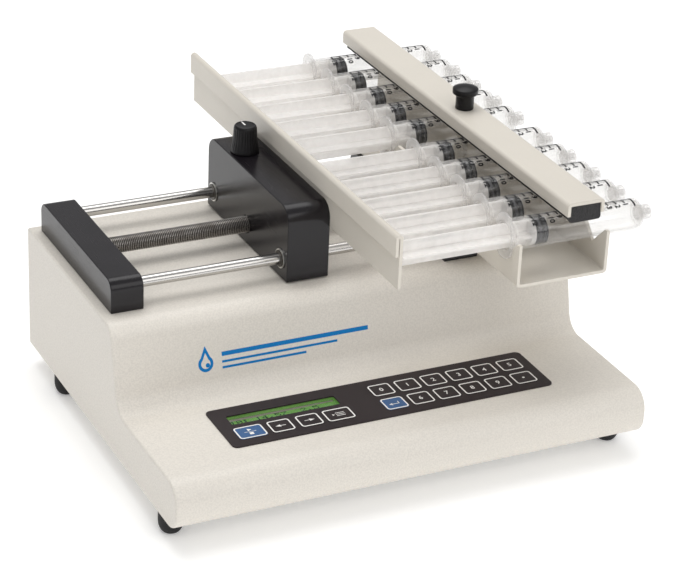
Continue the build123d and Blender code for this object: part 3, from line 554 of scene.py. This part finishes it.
class Shells:
    """Collects closed shells into one mesh."""

    def __init__(self):
        self.verts, self.faces = [], []

    def add(self, verts, faces):
        first = len(self.verts)
        self.verts += verts
        self.faces += [tuple(i + first for i in face) for face in faces]

    def skin(self, rings, loop=False):
        """Skins equal rings. loop joins the last to the first; otherwise both ends are capped."""
        n, count = len(rings[0]), len(rings)
        faces = []
        for a in range(count if loop else count - 1):
            b = (a + 1) % count
            for i in range(n):
                j = (i + 1) % n
                faces.append((a * n + i, a * n + j, b * n + j, b * n + i))
        if not loop:
            faces.append(tuple(range(n))[::-1])
            faces.append(tuple((count - 1) * n + i for i in range(n)))
        self.add([v for ring in rings for v in ring], faces)

    def turn_x(self, y, z, profile, segments, loop=False):
        """Turns a profile of (x, radius) about the line along x at y, z."""
        self.skin([[point(x, y + u, z + v) for u, v in circle(radius, segments)]
                   for x, radius in profile], loop)

    def turn_z(self, x, y, profile, segments):
        """Turns a profile of (z, radius) about the upright line at x, y."""
        self.skin([[point(x + u, y + v, z) for u, v in circle(radius, segments)]
                   for z, radius in profile])

    def slab(self, flat, place, bottom, top):
        """Thickens a flat shape; place(u, v, t) gives the point at height t."""
        points, faces = flat
        n = len(points)
        verts = [place(u, v, t) for t in (top, bottom) for u, v in points]
        solid = list(faces) + [tuple(i + n for i in face[::-1]) for face in faces]
        edges = dict.fromkeys(e for f in faces for e in zip(f, f[1:] + f[:1], strict=True))
        solid += [(b, a, a + n, b + n) for a, b in edges if (b, a) not in edges]
        self.add(verts, solid)

    def build(self, name, material, body, replaces=None, sharp=38.0, smooth=True):
        """Makes the object. It rides on body; edges over sharp degrees stay crisp."""
        mesh = bpy.data.meshes.new(name)
        mesh.from_pydata([tuple(v) for v in self.verts], [], self.faces)
        mesh.validate()
        bm = bmesh.new()
        bm.from_mesh(mesh)
        bmesh.ops.recalc_face_normals(bm, faces=bm.faces)
        bm.to_mesh(mesh)
        bm.free()
        if smooth:
            mesh.polygons.foreach_set("use_smooth", [True] * len(mesh.polygons))
            mesh.set_sharp_from_angle(angle=math.radians(sharp))
        mesh.materials.append(material)
        obj = bpy.data.objects.new(name, mesh)
        scene.collection.objects.link(obj)
        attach(obj, body)
        if replaces:
            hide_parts(replaces)


def level(z, x=0.0, y=0.0):
    """Places flat shapes level at height z, shifted by x, y."""
    return lambda u, v, t: point(x + u, y + v, z + t)


# Flat shapes are pairs of (points, faces) in mm.
def arc(centre_x, centre_y, radius, start, end, steps):
    """Points along an arc, with its angles in degrees."""
    angles = [math.radians(start + (end - start) * k / steps) for k in range(steps + 1)]
    return [(centre_x + radius * math.cos(a), centre_y + radius * math.sin(a)) for a in angles]


def rounded_rect(width, height, radius, steps=6):
    x, y = width / 2 - radius, height / 2 - radius
    corners = ((x, y, 0), (-x, y, 90), (-x, -y, 180), (x, -y, 270))
    return [p for cx, cy, start in corners for p in arc(cx, cy, radius, start, start + 90, steps)]


def flat_poly(points):
    return list(points), [tuple(range(len(points)))]


def flat_band(outer, inner):
    """The area between two outlines with equal point counts."""
    n = len(outer)
    faces = [(i, (i + 1) % n, n + (i + 1) % n, n + i) for i in range(n)]
    return list(outer) + list(inner), faces


def flat_ladder(left, right):
    """Quads between two equal rows of points."""
    n = len(left)
    return left + right, [(n + i, n + i + 1, i + 1, i) for i in range(n - 1)]


def flat_strip(points, width):
    """A stroke along a polyline."""
    left, right = [], []
    for i, p in enumerate(points):
        before = Vector(points[max(i - 1, 0)])
        after = Vector(points[min(i + 1, len(points) - 1)])
        along = (after - before).normalized()
        side = Vector((-along.y, along.x)) * width / 2
        left.append(tuple(Vector(p) + side))
        right.append(tuple(Vector(p) - side))
    return flat_ladder(left, right)


@cache
def glyphs(text, size, bold):
    """Numerals as a flat shape, centred."""
    curve = bpy.data.curves.new("numeral", "FONT")
    curve.body = text
    curve.size = size
    curve.align_x = "CENTER"
    curve.align_y = "CENTER"
    curve.resolution_u = 2
    curve.offset = bold
    obj = bpy.data.objects.new("numeral", curve)
    scene.collection.objects.link(obj)
    bpy.context.view_layer.update()
    evaluated = obj.evaluated_get(bpy.context.evaluated_depsgraph_get())
    mesh = bpy.data.meshes.new_from_object(evaluated)
    bm = bmesh.new()
    bm.from_mesh(mesh)
    bmesh.ops.remove_doubles(bm, verts=bm.verts, dist=1e-5)
    bmesh.ops.dissolve_degenerate(bm, edges=bm.edges, dist=1e-6)
    for face in bm.faces:
        if face.normal.z < 0:
            face.normal_flip()
    bm.verts.index_update()
    flat = ([(v.co.x, v.co.y) for v in bm.verts],
            [tuple(v.index for v in face.verts) for face in bm.faces])
    bm.free()
    bpy.data.objects.remove(obj)
    bpy.data.curves.remove(curve)
    bpy.data.meshes.remove(mesh)
    return flat


# ================================================================ lead screw
THREAD_PITCH = 25.4 / 24
THREAD_DEPTH = 0.62
THREAD_SEGMENTS = 28     # per turn
PLAIN_END_RADIUS = 3.15
END_CHAMFER = 0.35


def thread(y, z, crest, start, end):
    """One spiral skin from start to end in x, closed by a fan at each end."""
    segments = THREAD_SEGMENTS
    root = crest - THREAD_DEPTH
    profile = [(0.0, root), (0.08, root), (0.44, crest), (0.60, crest)]  # pitches along, radius
    turns = int((end - start - THREAD_PITCH) / THREAD_PITCH)
    steps = turns * segments
    verts, faces = [], []
    for i in range(steps + 1):
        angle = 2 * math.pi * i / segments
        for along, radius in profile:
            verts.append(point(start + (i / segments + along) * THREAD_PITCH,
                               y + radius * math.cos(angle), z + radius * math.sin(angle)))
    for i in range(steps):
        for j in range(4):
            k = i * 4 + j
            if j < 3:
                faces.append((k, k + 4, k + 5, k + 1))
            elif i + segments + 1 <= steps:
                faces.append((k, k + 4, (i + 1 + segments) * 4, (i + segments) * 4))

    def fan(turn, loop, flip):
        """Closes an open spiral edge round a point on the axis."""
        hub = len(verts)
        verts.append(point(start + THREAD_PITCH * turn, y, z))
        for a, b in zip(loop, loop[1:] + loop[:1], strict=True):
            faces.append((hub, b, a) if flip else (hub, a, b))
    fan(0.5, [i * 4 for i in range(segments + 1)] + [3, 2, 1], flip=True)
    last = [(steps - segments) * 4 + 3 + 4 * i for i in range(segments + 1)]
    fan(turns + 0.5, last + [steps * 4 + 2, steps * 4 + 1, steps * 4], flip=False)
    return verts, faces


def lead_screw():
    low, high = box_mm("lead_screw")
    y, z = middle(low.y, high.y), middle(low.z, high.z)
    # the thread runs between the end blocks' inner faces
    start = box_mm("left_end_block")[1].x + 0.15
    end = box_mm("right_end_block")[0].x - 0.15
    shells = Shells()
    shells.add(*thread(y, z, (high.y - low.y) / 2, start, end))
    radius, tip = PLAIN_END_RADIUS, PLAIN_END_RADIUS - END_CHAMFER
    left = [(low.x, tip), (low.x + END_CHAMFER, radius), (start + 0.9, radius), (start + 0.9, 0.6)]
    right = [(end - 1.6, 0.6), (end - 1.6, radius), (high.x - END_CHAMFER, radius), (high.x, tip)]
    for profile in (left, right):
        shells.turn_x(y, z, profile, segments=40)
    shells.build("lead_screw_threaded", MATERIALS["screw_steel"], "lead_screw",
                 replaces="lead_screw", sharp=25)


# ================================================================ guide rods
def guide_rods():
    low, high = box_mm("guide_rods")
    radius = (high.z - low.z) / 2
    chamfer, station = 0.35, 12
    profile = [(low.x, 0.4), (low.x, radius - chamfer), (low.x + chamfer, radius)]
    x = low.x + chamfer
    while x < high.x - station:
        x += station
        profile.append((x, radius))
    profile += [(high.x - chamfer, radius), (high.x, radius - chamfer), (high.x, 0.4)]
    shells = Shells()
    for y in (low.y + radius, high.y - radius):
        shells.turn_x(y, middle(low.z, high.z), profile, segments=56)
    shells.build("guide_rods_ground", MATERIALS["polished_steel"], "case",
                 replaces="guide_rods", sharp=30)


# ================================================================ knobs
FLUTES = 26
RELEASE_DISH = 0.38      # depth of the recess in the release knob's top
# height above the base, inset from the full radius, flute depth
RELEASE_SIDE = [
    (0, 0.25, 0), (0.25, 0, 0), (1.0, 0.02, 0), (1.6, 0.10, 0.05), (2.4, 0.24, 0.18),
    (4.6, 0.64, 0.30), (6.2, 0.96, 0.31), (7.8, 1.20, 0.31), (10.5, 1.34, 0.30),
]
# depth below the top, inset from the full radius, flute depth
RELEASE_TOP = [
    (2.3, 1.52, 0.28), (1.45, 1.60, 0.20), (0.95, 1.74, 0.08), (0.45, 2.05, 0), (0.1, 2.4, 0),
    (0, 2.7, 0), (0.06, 2.95, 0), (0.30, 3.10, 0), (RELEASE_DISH, 3.4, 0),
]
# height above the base, radius
CLAMP_STEM = [
    (0, 3.25), (0, 5.1), (0.3, 5.4), (3.0, 5.34), (7.6, 5.3), (8.1, 5.42), (8.45, 5.8),
    (8.8, 6.5), (9.1, 7.0),
]
# height above the base, inset from the full radius
CLAMP_HEAD = [
    (9.35, 0.2), (9.6, 0.03), (9.8, 0), (11.9, 0), (12.15, 0.03), (12.4, 0.16), (12.6, 0.4),
]
CROWN_STEPS = 10


def fluted(radius, depth):
    """A radius with grooves of the given depth round it."""
    return lambda angle: radius - depth * (1 - abs(math.sin(FLUTES * angle / 2))) ** 1.7


def release_knob():
    low, high = box_mm("release_knob")
    x, y = middle(low.x, high.x), middle(low.y, high.y)
    radius, height = (high.x - low.x) / 2, high.z - low.z
    stations = RELEASE_SIDE + [(height - drop, inset, depth) for drop, inset, depth in RELEASE_TOP]
    profile = [(low.z, 2.9)]
    profile += [(low.z + dz, fluted(radius - inset, depth)) for dz, inset, depth in stations]
    profile.append((low.z + height - RELEASE_DISH, 1.4))
    shells = Shells()
    shells.turn_z(x, y, profile, segments=240)
    shells.build("release_knob_fluted", MATERIALS["knob_black"], "release_knob",
                 replaces="release_knob", sharp=32)

    # white pointer across the top, towards the rear, with a sloped piece on the rim
    width, length, rim_half, rim_length = 0.95, 4.5, 0.47, 0.75
    pointer = Shells()
    pointer.slab(flat_poly(rounded_rect(width, length, radius=0.3, steps=3)),
                 level(low.z + height - RELEASE_DISH, x, y + 2.55), -0.05, 0.07)

    def on_rim(u, v, t):
        return point(x + u, y + radius - 3.05 + v, low.z + height + t - 0.02 - v * 0.16)
    rim = [(-rim_half, 0), (rim_half, 0), (rim_half, rim_length), (-rim_half, rim_length)]
    pointer.slab(flat_poly(rim), on_rim, -0.1, 0.06)
    pointer.build("release_knob_pointer", INK_WHITE, "release_knob", sharp=30)


def clamp_knob():
    low, high = box_mm("clamp_knob")
    height, radius = high.z - low.z, (high.x - low.x) / 2
    profile = CLAMP_STEM + [(dz, radius - inset) for dz, inset in CLAMP_HEAD]
    crown_base, crown_inset = CLAMP_HEAD[-1]
    crown_radius = radius - crown_inset
    for k in range(1, CROWN_STEPS + 1):
        r = crown_radius * (1 - k / CROWN_STEPS)
        dz = crown_base + (height - crown_base) * (1 - (r / crown_radius) ** 2)
        profile.append((dz, max(r, 0.3)))
    shells = Shells()
    shells.turn_z(middle(low.x, high.x), middle(low.y, high.y),
                  [(low.z + dz, r) for dz, r in profile], segments=96)
    shells.build("clamp_knob_turned", MATERIALS["knob_black"], "clamp_knob",
                 replaces="clamp_knob", sharp=34)


# ================================================================ clamp foam
def foam_floor(y):
    """Height of the foam's underside: it rides over each barrel and sags between them."""
    free = SYRINGE_Z + BARREL_RADIUS + 0.02
    z = free - 0.25 + 0.2 * noise.noise(Vector((y * 0.23, 3.1, 0)))
    for centre in SYRINGE_YS:
        away = abs(y - centre)
        if away < BARREL_RADIUS:
            z = max(z, SYRINGE_Z + math.sqrt(BARREL_RADIUS ** 2 - away * away) + 0.05)
        elif away < BARREL_RADIUS + 2.5:
            z = max(z, free - 0.3)
    return z


def foam_section(half, top, leg, floor, swell, wobble):
    """(x from the centre line, z) across the foam, from its left top to its right top.

    leg is the clamp bar's lower edge; below it each side moves out by swell.
    """
    side = [
        (half, top),
        (half, leg + 0.3),
        (half + swell * 0.65 + wobble, leg - 0.5),
        (half + swell + wobble, leg - 1.3 - (leg - floor) * 0.22),
        (half + swell * 0.8, floor + 1.1),
        (half - 0.3 + swell * 0.1, floor + 0.25),
        (half - 2.4, floor + 0.02),
        (half * 0.5, floor),
    ]
    outline = [(-u, z) for u, z in side] + [(0, floor)] + side[::-1]
    return [(u, max(z, floor)) for u, z in outline]


def clamp_foam():
    low, high = box_mm("clamp_foam")
    leg = box_mm("clamp_bar")[0].z
    centre_x, half = middle(low.x, high.x), (high.x - low.x) / 2
    spacing = 0.7
    n = int((high.y - low.y) / spacing)
    ys = [low.y + (high.y - low.y) * k / n for k in range(n + 1)]
    raw = [foam_floor(y) for y in ys]
    rings = []
    for i, y in enumerate(ys):
        # smooth the scallops a little, never below the barrel
        window = raw[max(0, i - 2):i + 3]
        floor = max(raw[i], sum(window) / len(window))
        from_front = y - low.y
        floor -= 0.7 * max(0.0, 1 - from_front / 4.0)
        swell = -1.5 + 2.1 * max(0.0, 1 - from_front / 5.5)
        wobble = 0.12 * noise.noise(Vector((y * 0.6, 0, 7.7)))
        # the three stations nearest each end are drawn inwards
        pull = 0.27 * (1 - min(1.0, min(i, n - i) / 3.0))
        shifted = y + (pull if i < n / 2 else -pull)
        section = foam_section(half, high.z, leg, floor, swell, wobble)
        rings.append([point(centre_x + u, shifted, z) for u, z in section])
    shells = Shells()
    shells.skin(rings)
    shells.build("clamp_foam_squeezed", MATERIALS["foam_rubber"], "clamp_bar",
                 replaces="clamp_foam", sharp=60)


# ================================================================ syringes
FLANGE_HALF_HEIGHT = 13.0
FLANGE_HALF_WIDTH = 8.8
SHOULDER = 2.2           # rounding of the barrel's closed end


def stadium(inset, least=0.0):
    """Radius by angle of the upright round-ended flange outline, kept to at least `least`."""
    tall, wide = FLANGE_HALF_HEIGHT - inset, FLANGE_HALF_WIDTH - inset
    straight = tall - wide

    def radius(angle):
        c, s = abs(math.cos(angle)), abs(math.sin(angle))
        if c < 1e-9:
            return tall
        r = wide / c
        if r * s > straight:
            r = straight * s + math.sqrt(max(wide * wide - straight * straight * c * c, 0))
        return max(r, least)
    return radius


def barrel_profile(left, tip):
    """(x, radius) from the flange bore, along the outside, round the nozzle and back inside."""
    end = tip - TIP_LENGTH
    outer, bore = BARREL_RADIUS, BORE_RADIUS
    flange = [
        (0.45, bore), (0.05, bore + 0.25), (0, bore + 0.45), (0, stadium(0.4, bore + 0.7)),
        (0.14, stadium(0.12)), (0.4, stadium(0)), (1.5, stadium(0)),
        (1.76, stadium(0.12, outer + 0.01)), (1.9, stadium(0.4, outer + 0.03)),
        (1.92, outer + 0.02),
    ]
    profile = [(left + dx, r) for dx, r in flange]
    profile += [(left + 2.3 + k * 9.2, outer) for k in range(9)]
    profile.append((end - SHOULDER, outer))
    profile += [(end - SHOULDER + SHOULDER * math.sin(a), outer - SHOULDER + SHOULDER * math.cos(a))
                for a in (0.35, 0.7, 1.05, 1.35)]
    nozzle = [(0, 6.2), (0.15, 5.0), (0.3, 3.3), (0.9, 2.5), (2.0, 2.32)]
    profile += [(end + dx, r) for dx, r in nozzle]
    profile += [(tip - 0.25, 2.02), (tip, 1.85), (tip, 1.15), (tip - 0.2, 1.05)]
    inside = [(0.5, 1.05), (0.9, 1.6), (1.3, 6.6), (1.7, 7.5), (SHOULDER, bore), (30, bore),
              (60, bore)]
    return profile + [(end - dx, r) for dx, r in inside]


def ribbed(drop):
    """Collar radius by angle: eight shallow grip ribs, lowered by drop."""
    return lambda angle: 4.30 + 0.13 * max(0.0, math.cos(8 * angle)) ** 2 - drop


# Luer-lock collar, with threads suggested inside: x from the barrel's closed end, radius
COLLAR = [
    (-0.1, 3.7), (-0.1, 4.1), (0.3, ribbed(0.12)), (0.7, ribbed(0)), (5.2, ribbed(0)),
    (5.6, ribbed(0.15)), (5.9, 4.22), (6.7, 4.22), (7.0, 4.1), (7.0, 3.55), (6.4, 3.45),
    (4.8, 3.45), (4.4, 3.15), (4.0, 3.45), (2.6, 3.45), (2.2, 3.15), (1.8, 3.45), (0.3, 3.45),
]
# x from the stopper's left end, radius; the first two points are the floor of its hollow
STOPPER_PROFILE = [
    (2.5, 0.4), (2.5, 3.5), (0.0, 3.55), (0.0, 7.25), (0.18, 7.6), (0.5, 7.80), (1.35, 7.82),
    (1.7, 7.6), (1.95, 7.2), (2.2, 7.05), (2.9, 7.05), (3.15, 7.2), (3.4, 7.6), (3.7, 7.82),
    (4.75, 7.82), (5.05, 7.6), (5.25, 7.25), (5.45, 7.1), (5.75, 7.1), (5.95, 7.3), (6.2, 7.7),
    (6.45, 7.82), (6.95, 7.80), (7.2, 7.6), (7.4, 7.2), (7.75, 5.4), (8.15, 3.0), (8.45, 1.2),
    (8.55, 0.4),
]


def barrels():
    low, high = box_mm("syringe_barrels")
    barrel = barrel_profile(low.x, high.x)
    collar = [(high.x - TIP_LENGTH + dx, radius) for dx, radius in COLLAR]
    shells = Shells()
    for y in SYRINGE_YS:
        for profile in (barrel, collar):
            shells.turn_x(y, SYRINGE_Z, profile, segments=64, loop=True)
    shells.build("syringe_barrels_moulded", MATERIALS["clear_polypropylene"], "case",
                 replaces="syringe_barrels", sharp=42)


def stoppers():
    left = box_mm("plunger_stoppers")[0].x
    profile = [(left + dx, radius) for dx, radius in STOPPER_PROFILE]
    shells = Shells()
    for y in SYRINGE_YS:
        shells.turn_x(y, SYRINGE_Z, profile, segments=56)
    shells.build("plunger_stoppers_moulded", STOPPER, "plungers",
                 replaces="plunger_stoppers", sharp=40)


# Marks wrap round the barrel: angle in degrees from the top towards the front, and width in x
MARK_START = -17
ZERO_MARK = (34, 1.0)
NUMBERED_MARK = (14, 0.95)
SMALL_MARK = (-1, 0.46)
NUMERAL_START = 18


def graduations():
    shells = Shells()

    def on_barrel(y, angle, x, t):
        radius = BARREL_RADIUS + t
        return point(x, y - radius * math.sin(angle), SYRINGE_Z + radius * math.cos(angle))

    def mark(y, x, end, width):
        steps = max(2, int(abs(end - MARK_START) / 7))
        angles = [MARK_START + (end - MARK_START) * i / steps for i in range(steps + 1)]
        flat = flat_ladder([(a, -width / 2) for a in angles], [(a, width / 2) for a in angles])
        shells.slab(flat, lambda a, v, t: on_barrel(y, math.radians(a), x + v, t), -0.03, 0.045)

    def numeral(y, x, text):
        flat = glyphs(text, size=4.3, bold=0.17)
        half = max(u for u, _ in flat[0])

        def place(u, v, t):
            angle = math.radians(NUMERAL_START) + (u + half) / BARREL_RADIUS
            return on_barrel(y, angle, x + v, t)
        shells.slab(flat, place, -0.05, 0.05)

    for y in SYRINGE_YS:
        for i in range(DIVISIONS * MARKS_PER_DIVISION + 1):
            if i == 0:
                shape = ZERO_MARK
            elif i % MARKS_PER_DIVISION == 0:
                shape = NUMBERED_MARK
            else:
                shape = SMALL_MARK
            mark(y, ZERO_MARK_X - DIVISION * i / MARKS_PER_DIVISION, *shape)
        for k in range(1, DIVISIONS + 1):
            numeral(y, ZERO_MARK_X - DIVISION * k, str(k))
    shells.build("syringe_graduations", INK_BLACK, "case", smooth=False)


# ================================================================ display
# Each character is seven rows of five dots, from the back row to the front.
DOT_FONT = {
    "0": "01110 10001 10011 10101 11001 10001 01110",
    "1": "00100 01100 00100 00100 00100 00100 01110",
    "2": "01110 10001 00001 00010 00100 01000 11111",
    "4": "00010 00110 01010 10010 11111 00010 00010",
    "5": "11111 10000 11110 00001 00001 10001 01110",
    "7": "11111 00001 00010 00100 01000 01000 01000",
    "8": "01110 10001 10001 01110 10001 10001 01110",
    ".": "00000 00000 00000 00000 00000 01100 01100",
    ">": "01000 00100 00010 00001 00010 00100 01000",
    "-": "00000 00000 00000 11111 00000 00000 00000",
    ":": "00000 01100 01100 00000 01100 01100 00000",
    " ": "",
}
LCD_LINES = ("10: 14.57  2.5", "> 0.500-8:20")
DOT_PITCH_X, DOT_PITCH_Y = 0.62, 0.515
DOT_FILL = 0.94          # share of the pitch that a dot covers
CHARACTER_PITCH, LINE_PITCH = 3.75, 3.95


def lcd_glass():
    """The glass itself, lying on the floor of the module's recess."""
    lap = 0.1
    left, right = LCD_LEFT - lap, LCD_RIGHT + lap
    front, back = LCD_FRONT - lap, LCD_BACK + lap
    shells = Shells()
    shells.slab(flat_poly([(left, front), (right, front), (right, back), (left, back)]),
                level(LCD_FLOOR), 0.01, LCD_THICKNESS)
    shells.build("lcd_glass", MATERIALS["display"], "case", smooth=False)


def lcd_characters():
    shells = Shells()
    width, depth = DOT_PITCH_X * DOT_FILL, DOT_PITCH_Y * DOT_FILL
    place = level(LCD_FLOOR + LCD_THICKNESS)
    for line, text in enumerate(LCD_LINES):
        for k, character in enumerate(text):
            left = LCD_LEFT + 1.3 + k * CHARACTER_PITCH
            back = LCD_BACK - 2.15 - line * LINE_PITCH
            for row, dots in enumerate(DOT_FONT[character].split()):
                for column, dot in enumerate(dots):
                    if dot == "1":
                        x, y = left + column * DOT_PITCH_X, back - row * DOT_PITCH_Y
                        corners = [(x, y - depth), (x + width, y - depth), (x + width, y), (x, y)]
                        shells.slab(flat_poly(corners), place, -0.02, 0.03)
    shells.build("lcd_characters", INK_LCD, "case", smooth=False)


def lcd_edge_strip():
    """Pale edge of the glass along its back, tapering to the right."""
    steps = 24
    xs = [LCD_LEFT + 0.2 + (LCD_RIGHT - LCD_LEFT - 0.6) * i / steps for i in range(steps + 1)]
    back = [(x, LCD_BACK - 0.1) for x in xs]
    front = [(x, LCD_BACK - 2.2 + 0.9 * (i / steps) ** 2) for i, x in enumerate(xs)]
    shells = Shells()
    shells.slab(flat_ladder(back, front), level(LCD_FLOOR + LCD_THICKNESS), -0.02, 0.12)
    shells.build("lcd_edge_strip", PALE_EDGE, "case", smooth=False)


# ================================================================ keypad
LINE = 0.42              # stroke width of the key symbols


def arrow(way):
    """A level arrow, pointing left for -1 and right for 1."""
    head = [(0.15 * way, -1.15 * way), (3.05 * way, 0), (0.15 * way, 1.15 * way)]
    return [flat_poly(head), flat_strip(sorted([(-2.9 * way, 0), (0.4 * way, 0)]), LINE)]


KEY_SYMBOLS = {
    "decimal": [flat_poly(arc(0, 0, radius=0.75, start=0, end=345, steps=23))],
    "left": arrow(-1),
    "right": arrow(1),
    "select": [
        *(flat_strip([(-1.6, y), (3.6, y)], LINE) for y in (1.5, 0.0, -1.5)),
        flat_poly([(-3.6, -0.85), (-2.2, 0), (-3.6, 0.85)]),
    ],
    "enter": [
        flat_strip([(-2.4, -0.9), (2.6, -0.9)], LINE),
        flat_strip([(2.39, -0.7), (2.39, 1.5)], LINE),
        flat_poly([(-1.6, -2.0), (-1.6, 0.2), (-3.6, -0.9)]),
    ],
    "run_stop": [
        flat_poly([(-1.0, 0.75), (1.4, 1.95), (-1.0, 3.15)]),
        flat_strip([(-3.4, 0), (3.4, 0)], 0.30),
        flat_poly([(-1.15, -2.95), (1.15, -2.95), (1.15, -0.85), (-1.15, -0.85)]),
    ],
}


def keypad():
    """A white border and a numeral or symbol on each key."""
    for name in sorted(n for n in CAD if n.startswith("key_")):
        low, high = box_mm(name)
        width, depth = high.x - low.x - 1.6, high.y - low.y - 1.6
        border = flat_band(rounded_rect(width - 0.30, depth - 0.30, radius=1.9),
                           rounded_rect(width - 1.90, depth - 1.90, radius=1.15))
        label = name.removeprefix("key_")
        if label.isdigit():
            symbol = [glyphs(label, size=4.9, bold=0.05)]
        else:
            symbol = KEY_SYMBOLS.get(label, [])
        place = level(high.z, middle(low.x, high.x), middle(low.y, high.y))
        shells = Shells()
        for flat in [border, *symbol]:
            shells.slab(flat, place, -0.02, 0.035)
        shells.build(name + "_print", INK_WHITE, name, smooth=False)


# ================================================================ mark on the raised face
DROP_X, DROP_Z = 52.5, 45.5
# left x, right x, z, width
FACE_BARS = [(62.0, 150.0, 49.4, 2.4), (62.0, 131.0, 45.2, 1.3), (62.0, 112.0, 42.0, 1.3)]


def drop_outline(radius, tip):
    """A round drop with its point upwards, tip above the centre."""
    round_part = arc(DROP_X, DROP_Z, radius, start=-230, end=50, steps=39)
    return round_part + [(DROP_X, DROP_Z + tip)]


def face_mark():
    """A drop with a dot in it and three bars, printed on the raised front face."""
    mesh = CAD["housing_shell"].data
    shell = BVHTree.FromPolygons([v.co for v in mesh.vertices],
                                 [tuple(p.vertices) for p in mesh.polygons])

    def place(x, z, t):
        """Drops a point back on the shell from in front of it, t out from the surface."""
        hit, normal, _, _ = shell.ray_cast(point(x, -40, z), Vector((0, 1, 0)))
        if normal.y > 0:
            normal = -normal
        return hit + normal * t * MM
    flats = [
        flat_band(drop_outline(4.4, tip=9.8), drop_outline(2.7, tip=6.0)),
        flat_poly(arc(53.6, 44.6, radius=1.25, start=0, end=340, steps=17)),
    ]
    steps = 40
    for left, right, z, width in FACE_BARS:
        line = [(left + (right - left) * i / steps, z) for i in range(steps + 1)]
        flats.append(flat_strip(line, width))
    shells = Shells()
    for flat in flats:
        shells.slab(flat, place, -0.03, 0.05)
    shells.build("case_face_mark", INK_BLUE, "case", smooth=False)


# ================================================================ floor, light and camera
FLOOR_HALF = 9.0         # metres
FLOOR_GAP = 0.0004       # metres below the product
WORLD_STRENGTH = 0.50
# name, place in metres, size in metres, watts, colour; all aim at the product's centre
LIGHTS = [
    ("key", (-0.30, 0.15, 2.0), (1.2, 1.2), 11.5, (1.0, 0.99, 0.975)),
    ("top", (0.35, 0.75, 1.9), (1.6, 1.2), 11.5, (1.0, 1.0, 1.0)),
    ("front", (0.35, -1.7, 1.10), (2.2, 1.2), 10.5, (1.0, 0.99, 0.98)),
]
CAMERA_PLACE = (-399.7, -977.1, 666.0)   # drawing mm
CAMERA_AZIMUTH, CAMERA_ELEVATION, CAMERA_ROLL = -26.76, 26.34, 2.63   # degrees
SENSOR_WIDTH = 36.0
FOCAL_LENGTH = 124.894286


def floor_material():
    """Near-white with a faint glow, and clear from below."""
    m = Mat("floor")
    tone = m.mix(m.ramp(m.noise(scale=3), span=(0.3, 0.7)),
                 (0.93, 0.93, 0.925), (0.95, 0.95, 0.945))
    upper = m.principled(tone, rough=0.9,
                         normal=m.bump(m.noise(scale=900), distance=0.00003, strength=0.3),
                         Specular_IOR_Level=0.1, Emission_Color=(1.0, 1.0, 1.0),
                         Emission_Strength=0.24)
    clear = m.node("BsdfTransparent", Color=(1, 1, 1))
    below = m.node("NewGeometry").outputs["Backfacing"]
    return m.done(m.node("MixShader", i0=below, i1=upper, i2=clear))


def studio_floor():
    z = CAD_LO.z - FLOOR_GAP
    k = FLOOR_HALF
    mesh = bpy.data.meshes.new("studio_floor")
    mesh.from_pydata([(-k, -k, z), (k, -k, z), (k, k, z), (-k, k, z)], [], [(0, 1, 2, 3)])
    mesh.materials.append(floor_material())
    obj = bpy.data.objects.new("studio_floor", mesh)
    scene.collection.objects.link(obj)


def studio_world():
    """Soft grey at the horizon, white overhead."""
    world = bpy.data.worlds.new("studio_world")
    scene.world = world
    world.use_nodes = True
    nodes, links = world.node_tree.nodes, world.node_tree.links
    nodes.clear()
    output = nodes.new("ShaderNodeOutputWorld")
    background = nodes.new("ShaderNodeBackground")
    background.inputs["Strength"].default_value = WORLD_STRENGTH
    coord = nodes.new("ShaderNodeTexCoord")
    axes = nodes.new("ShaderNodeSeparateXYZ")
    sky = nodes.new("ShaderNodeValToRGB")
    horizon, zenith = sky.color_ramp.elements
    horizon.position, horizon.color = 0.0, (0.80, 0.80, 0.82, 1)
    zenith.position, zenith.color = 0.75, (1.0, 1.0, 1.0, 1)
    links.new(coord.outputs["Generated"], axes.inputs[0])
    links.new(axes.outputs[2], sky.inputs[0])
    links.new(sky.outputs[0], background.inputs[0])
    links.new(background.outputs[0], output.inputs[0])


def area_light(name, place, size, power, color):
    light = bpy.data.lights.new(name, "AREA")
    light.shape = "RECTANGLE"
    light.size, light.size_y = size
    light.energy = power
    light.color = color
    obj = bpy.data.objects.new(name, light)
    scene.collection.objects.link(obj)
    obj.location = place
    obj.rotation_mode = "QUATERNION"
    aim = (CAD_LO + CAD_HI) / 2 - Vector(place)
    obj.rotation_quaternion = aim.to_track_quat("-Z", "Y")


def camera():
    """Looks down on the pump from its front left."""
    data = bpy.data.cameras.new("camera")
    data.sensor_width = SENSOR_WIDTH
    data.lens = FOCAL_LENGTH
    data.clip_start, data.clip_end = 0.05, 60.0
    obj = bpy.data.objects.new("camera", data)
    scene.collection.objects.link(obj)
    azimuth, elevation, roll = map(math.radians, (CAMERA_AZIMUTH, CAMERA_ELEVATION, CAMERA_ROLL))
    back = Vector((math.sin(azimuth) * math.cos(elevation),
                   -math.cos(azimuth) * math.cos(elevation), math.sin(elevation)))
    right = Vector((math.cos(azimuth), math.sin(azimuth), 0))
    up = right.cross(-back)
    rolled_right = right * math.cos(roll) + up * math.sin(roll)
    rolled_up = -right * math.sin(roll) + up * math.cos(roll)
    columns = (rolled_right, rolled_up, back, point(*CAMERA_PLACE))
    obj.matrix_world = Matrix((*zip(*columns), (0, 0, 0, 1)))
    scene.camera = obj


# ================================================================ build
lead_screw()
guide_rods()
release_knob()
clamp_knob()
barrels()
stoppers()
graduations()
clamp_foam()
lcd_glass()
lcd_characters()
lcd_edge_strip()
keypad()
face_mark()

studio_floor()
studio_world()
for light in LIGHTS:
    area_light(*light)
camera()
scene.view_settings.view_transform = "Standard"
scene.view_settings.look = "None"
scene.view_settings.exposure = 0.0
scene.view_settings.gamma = 1.0
scene.cycles.use_denoising = True
scene.cycles.transparent_max_bounces = 48
scene.cycles.max_bounces = 10

bpy.context.view_layer.update()
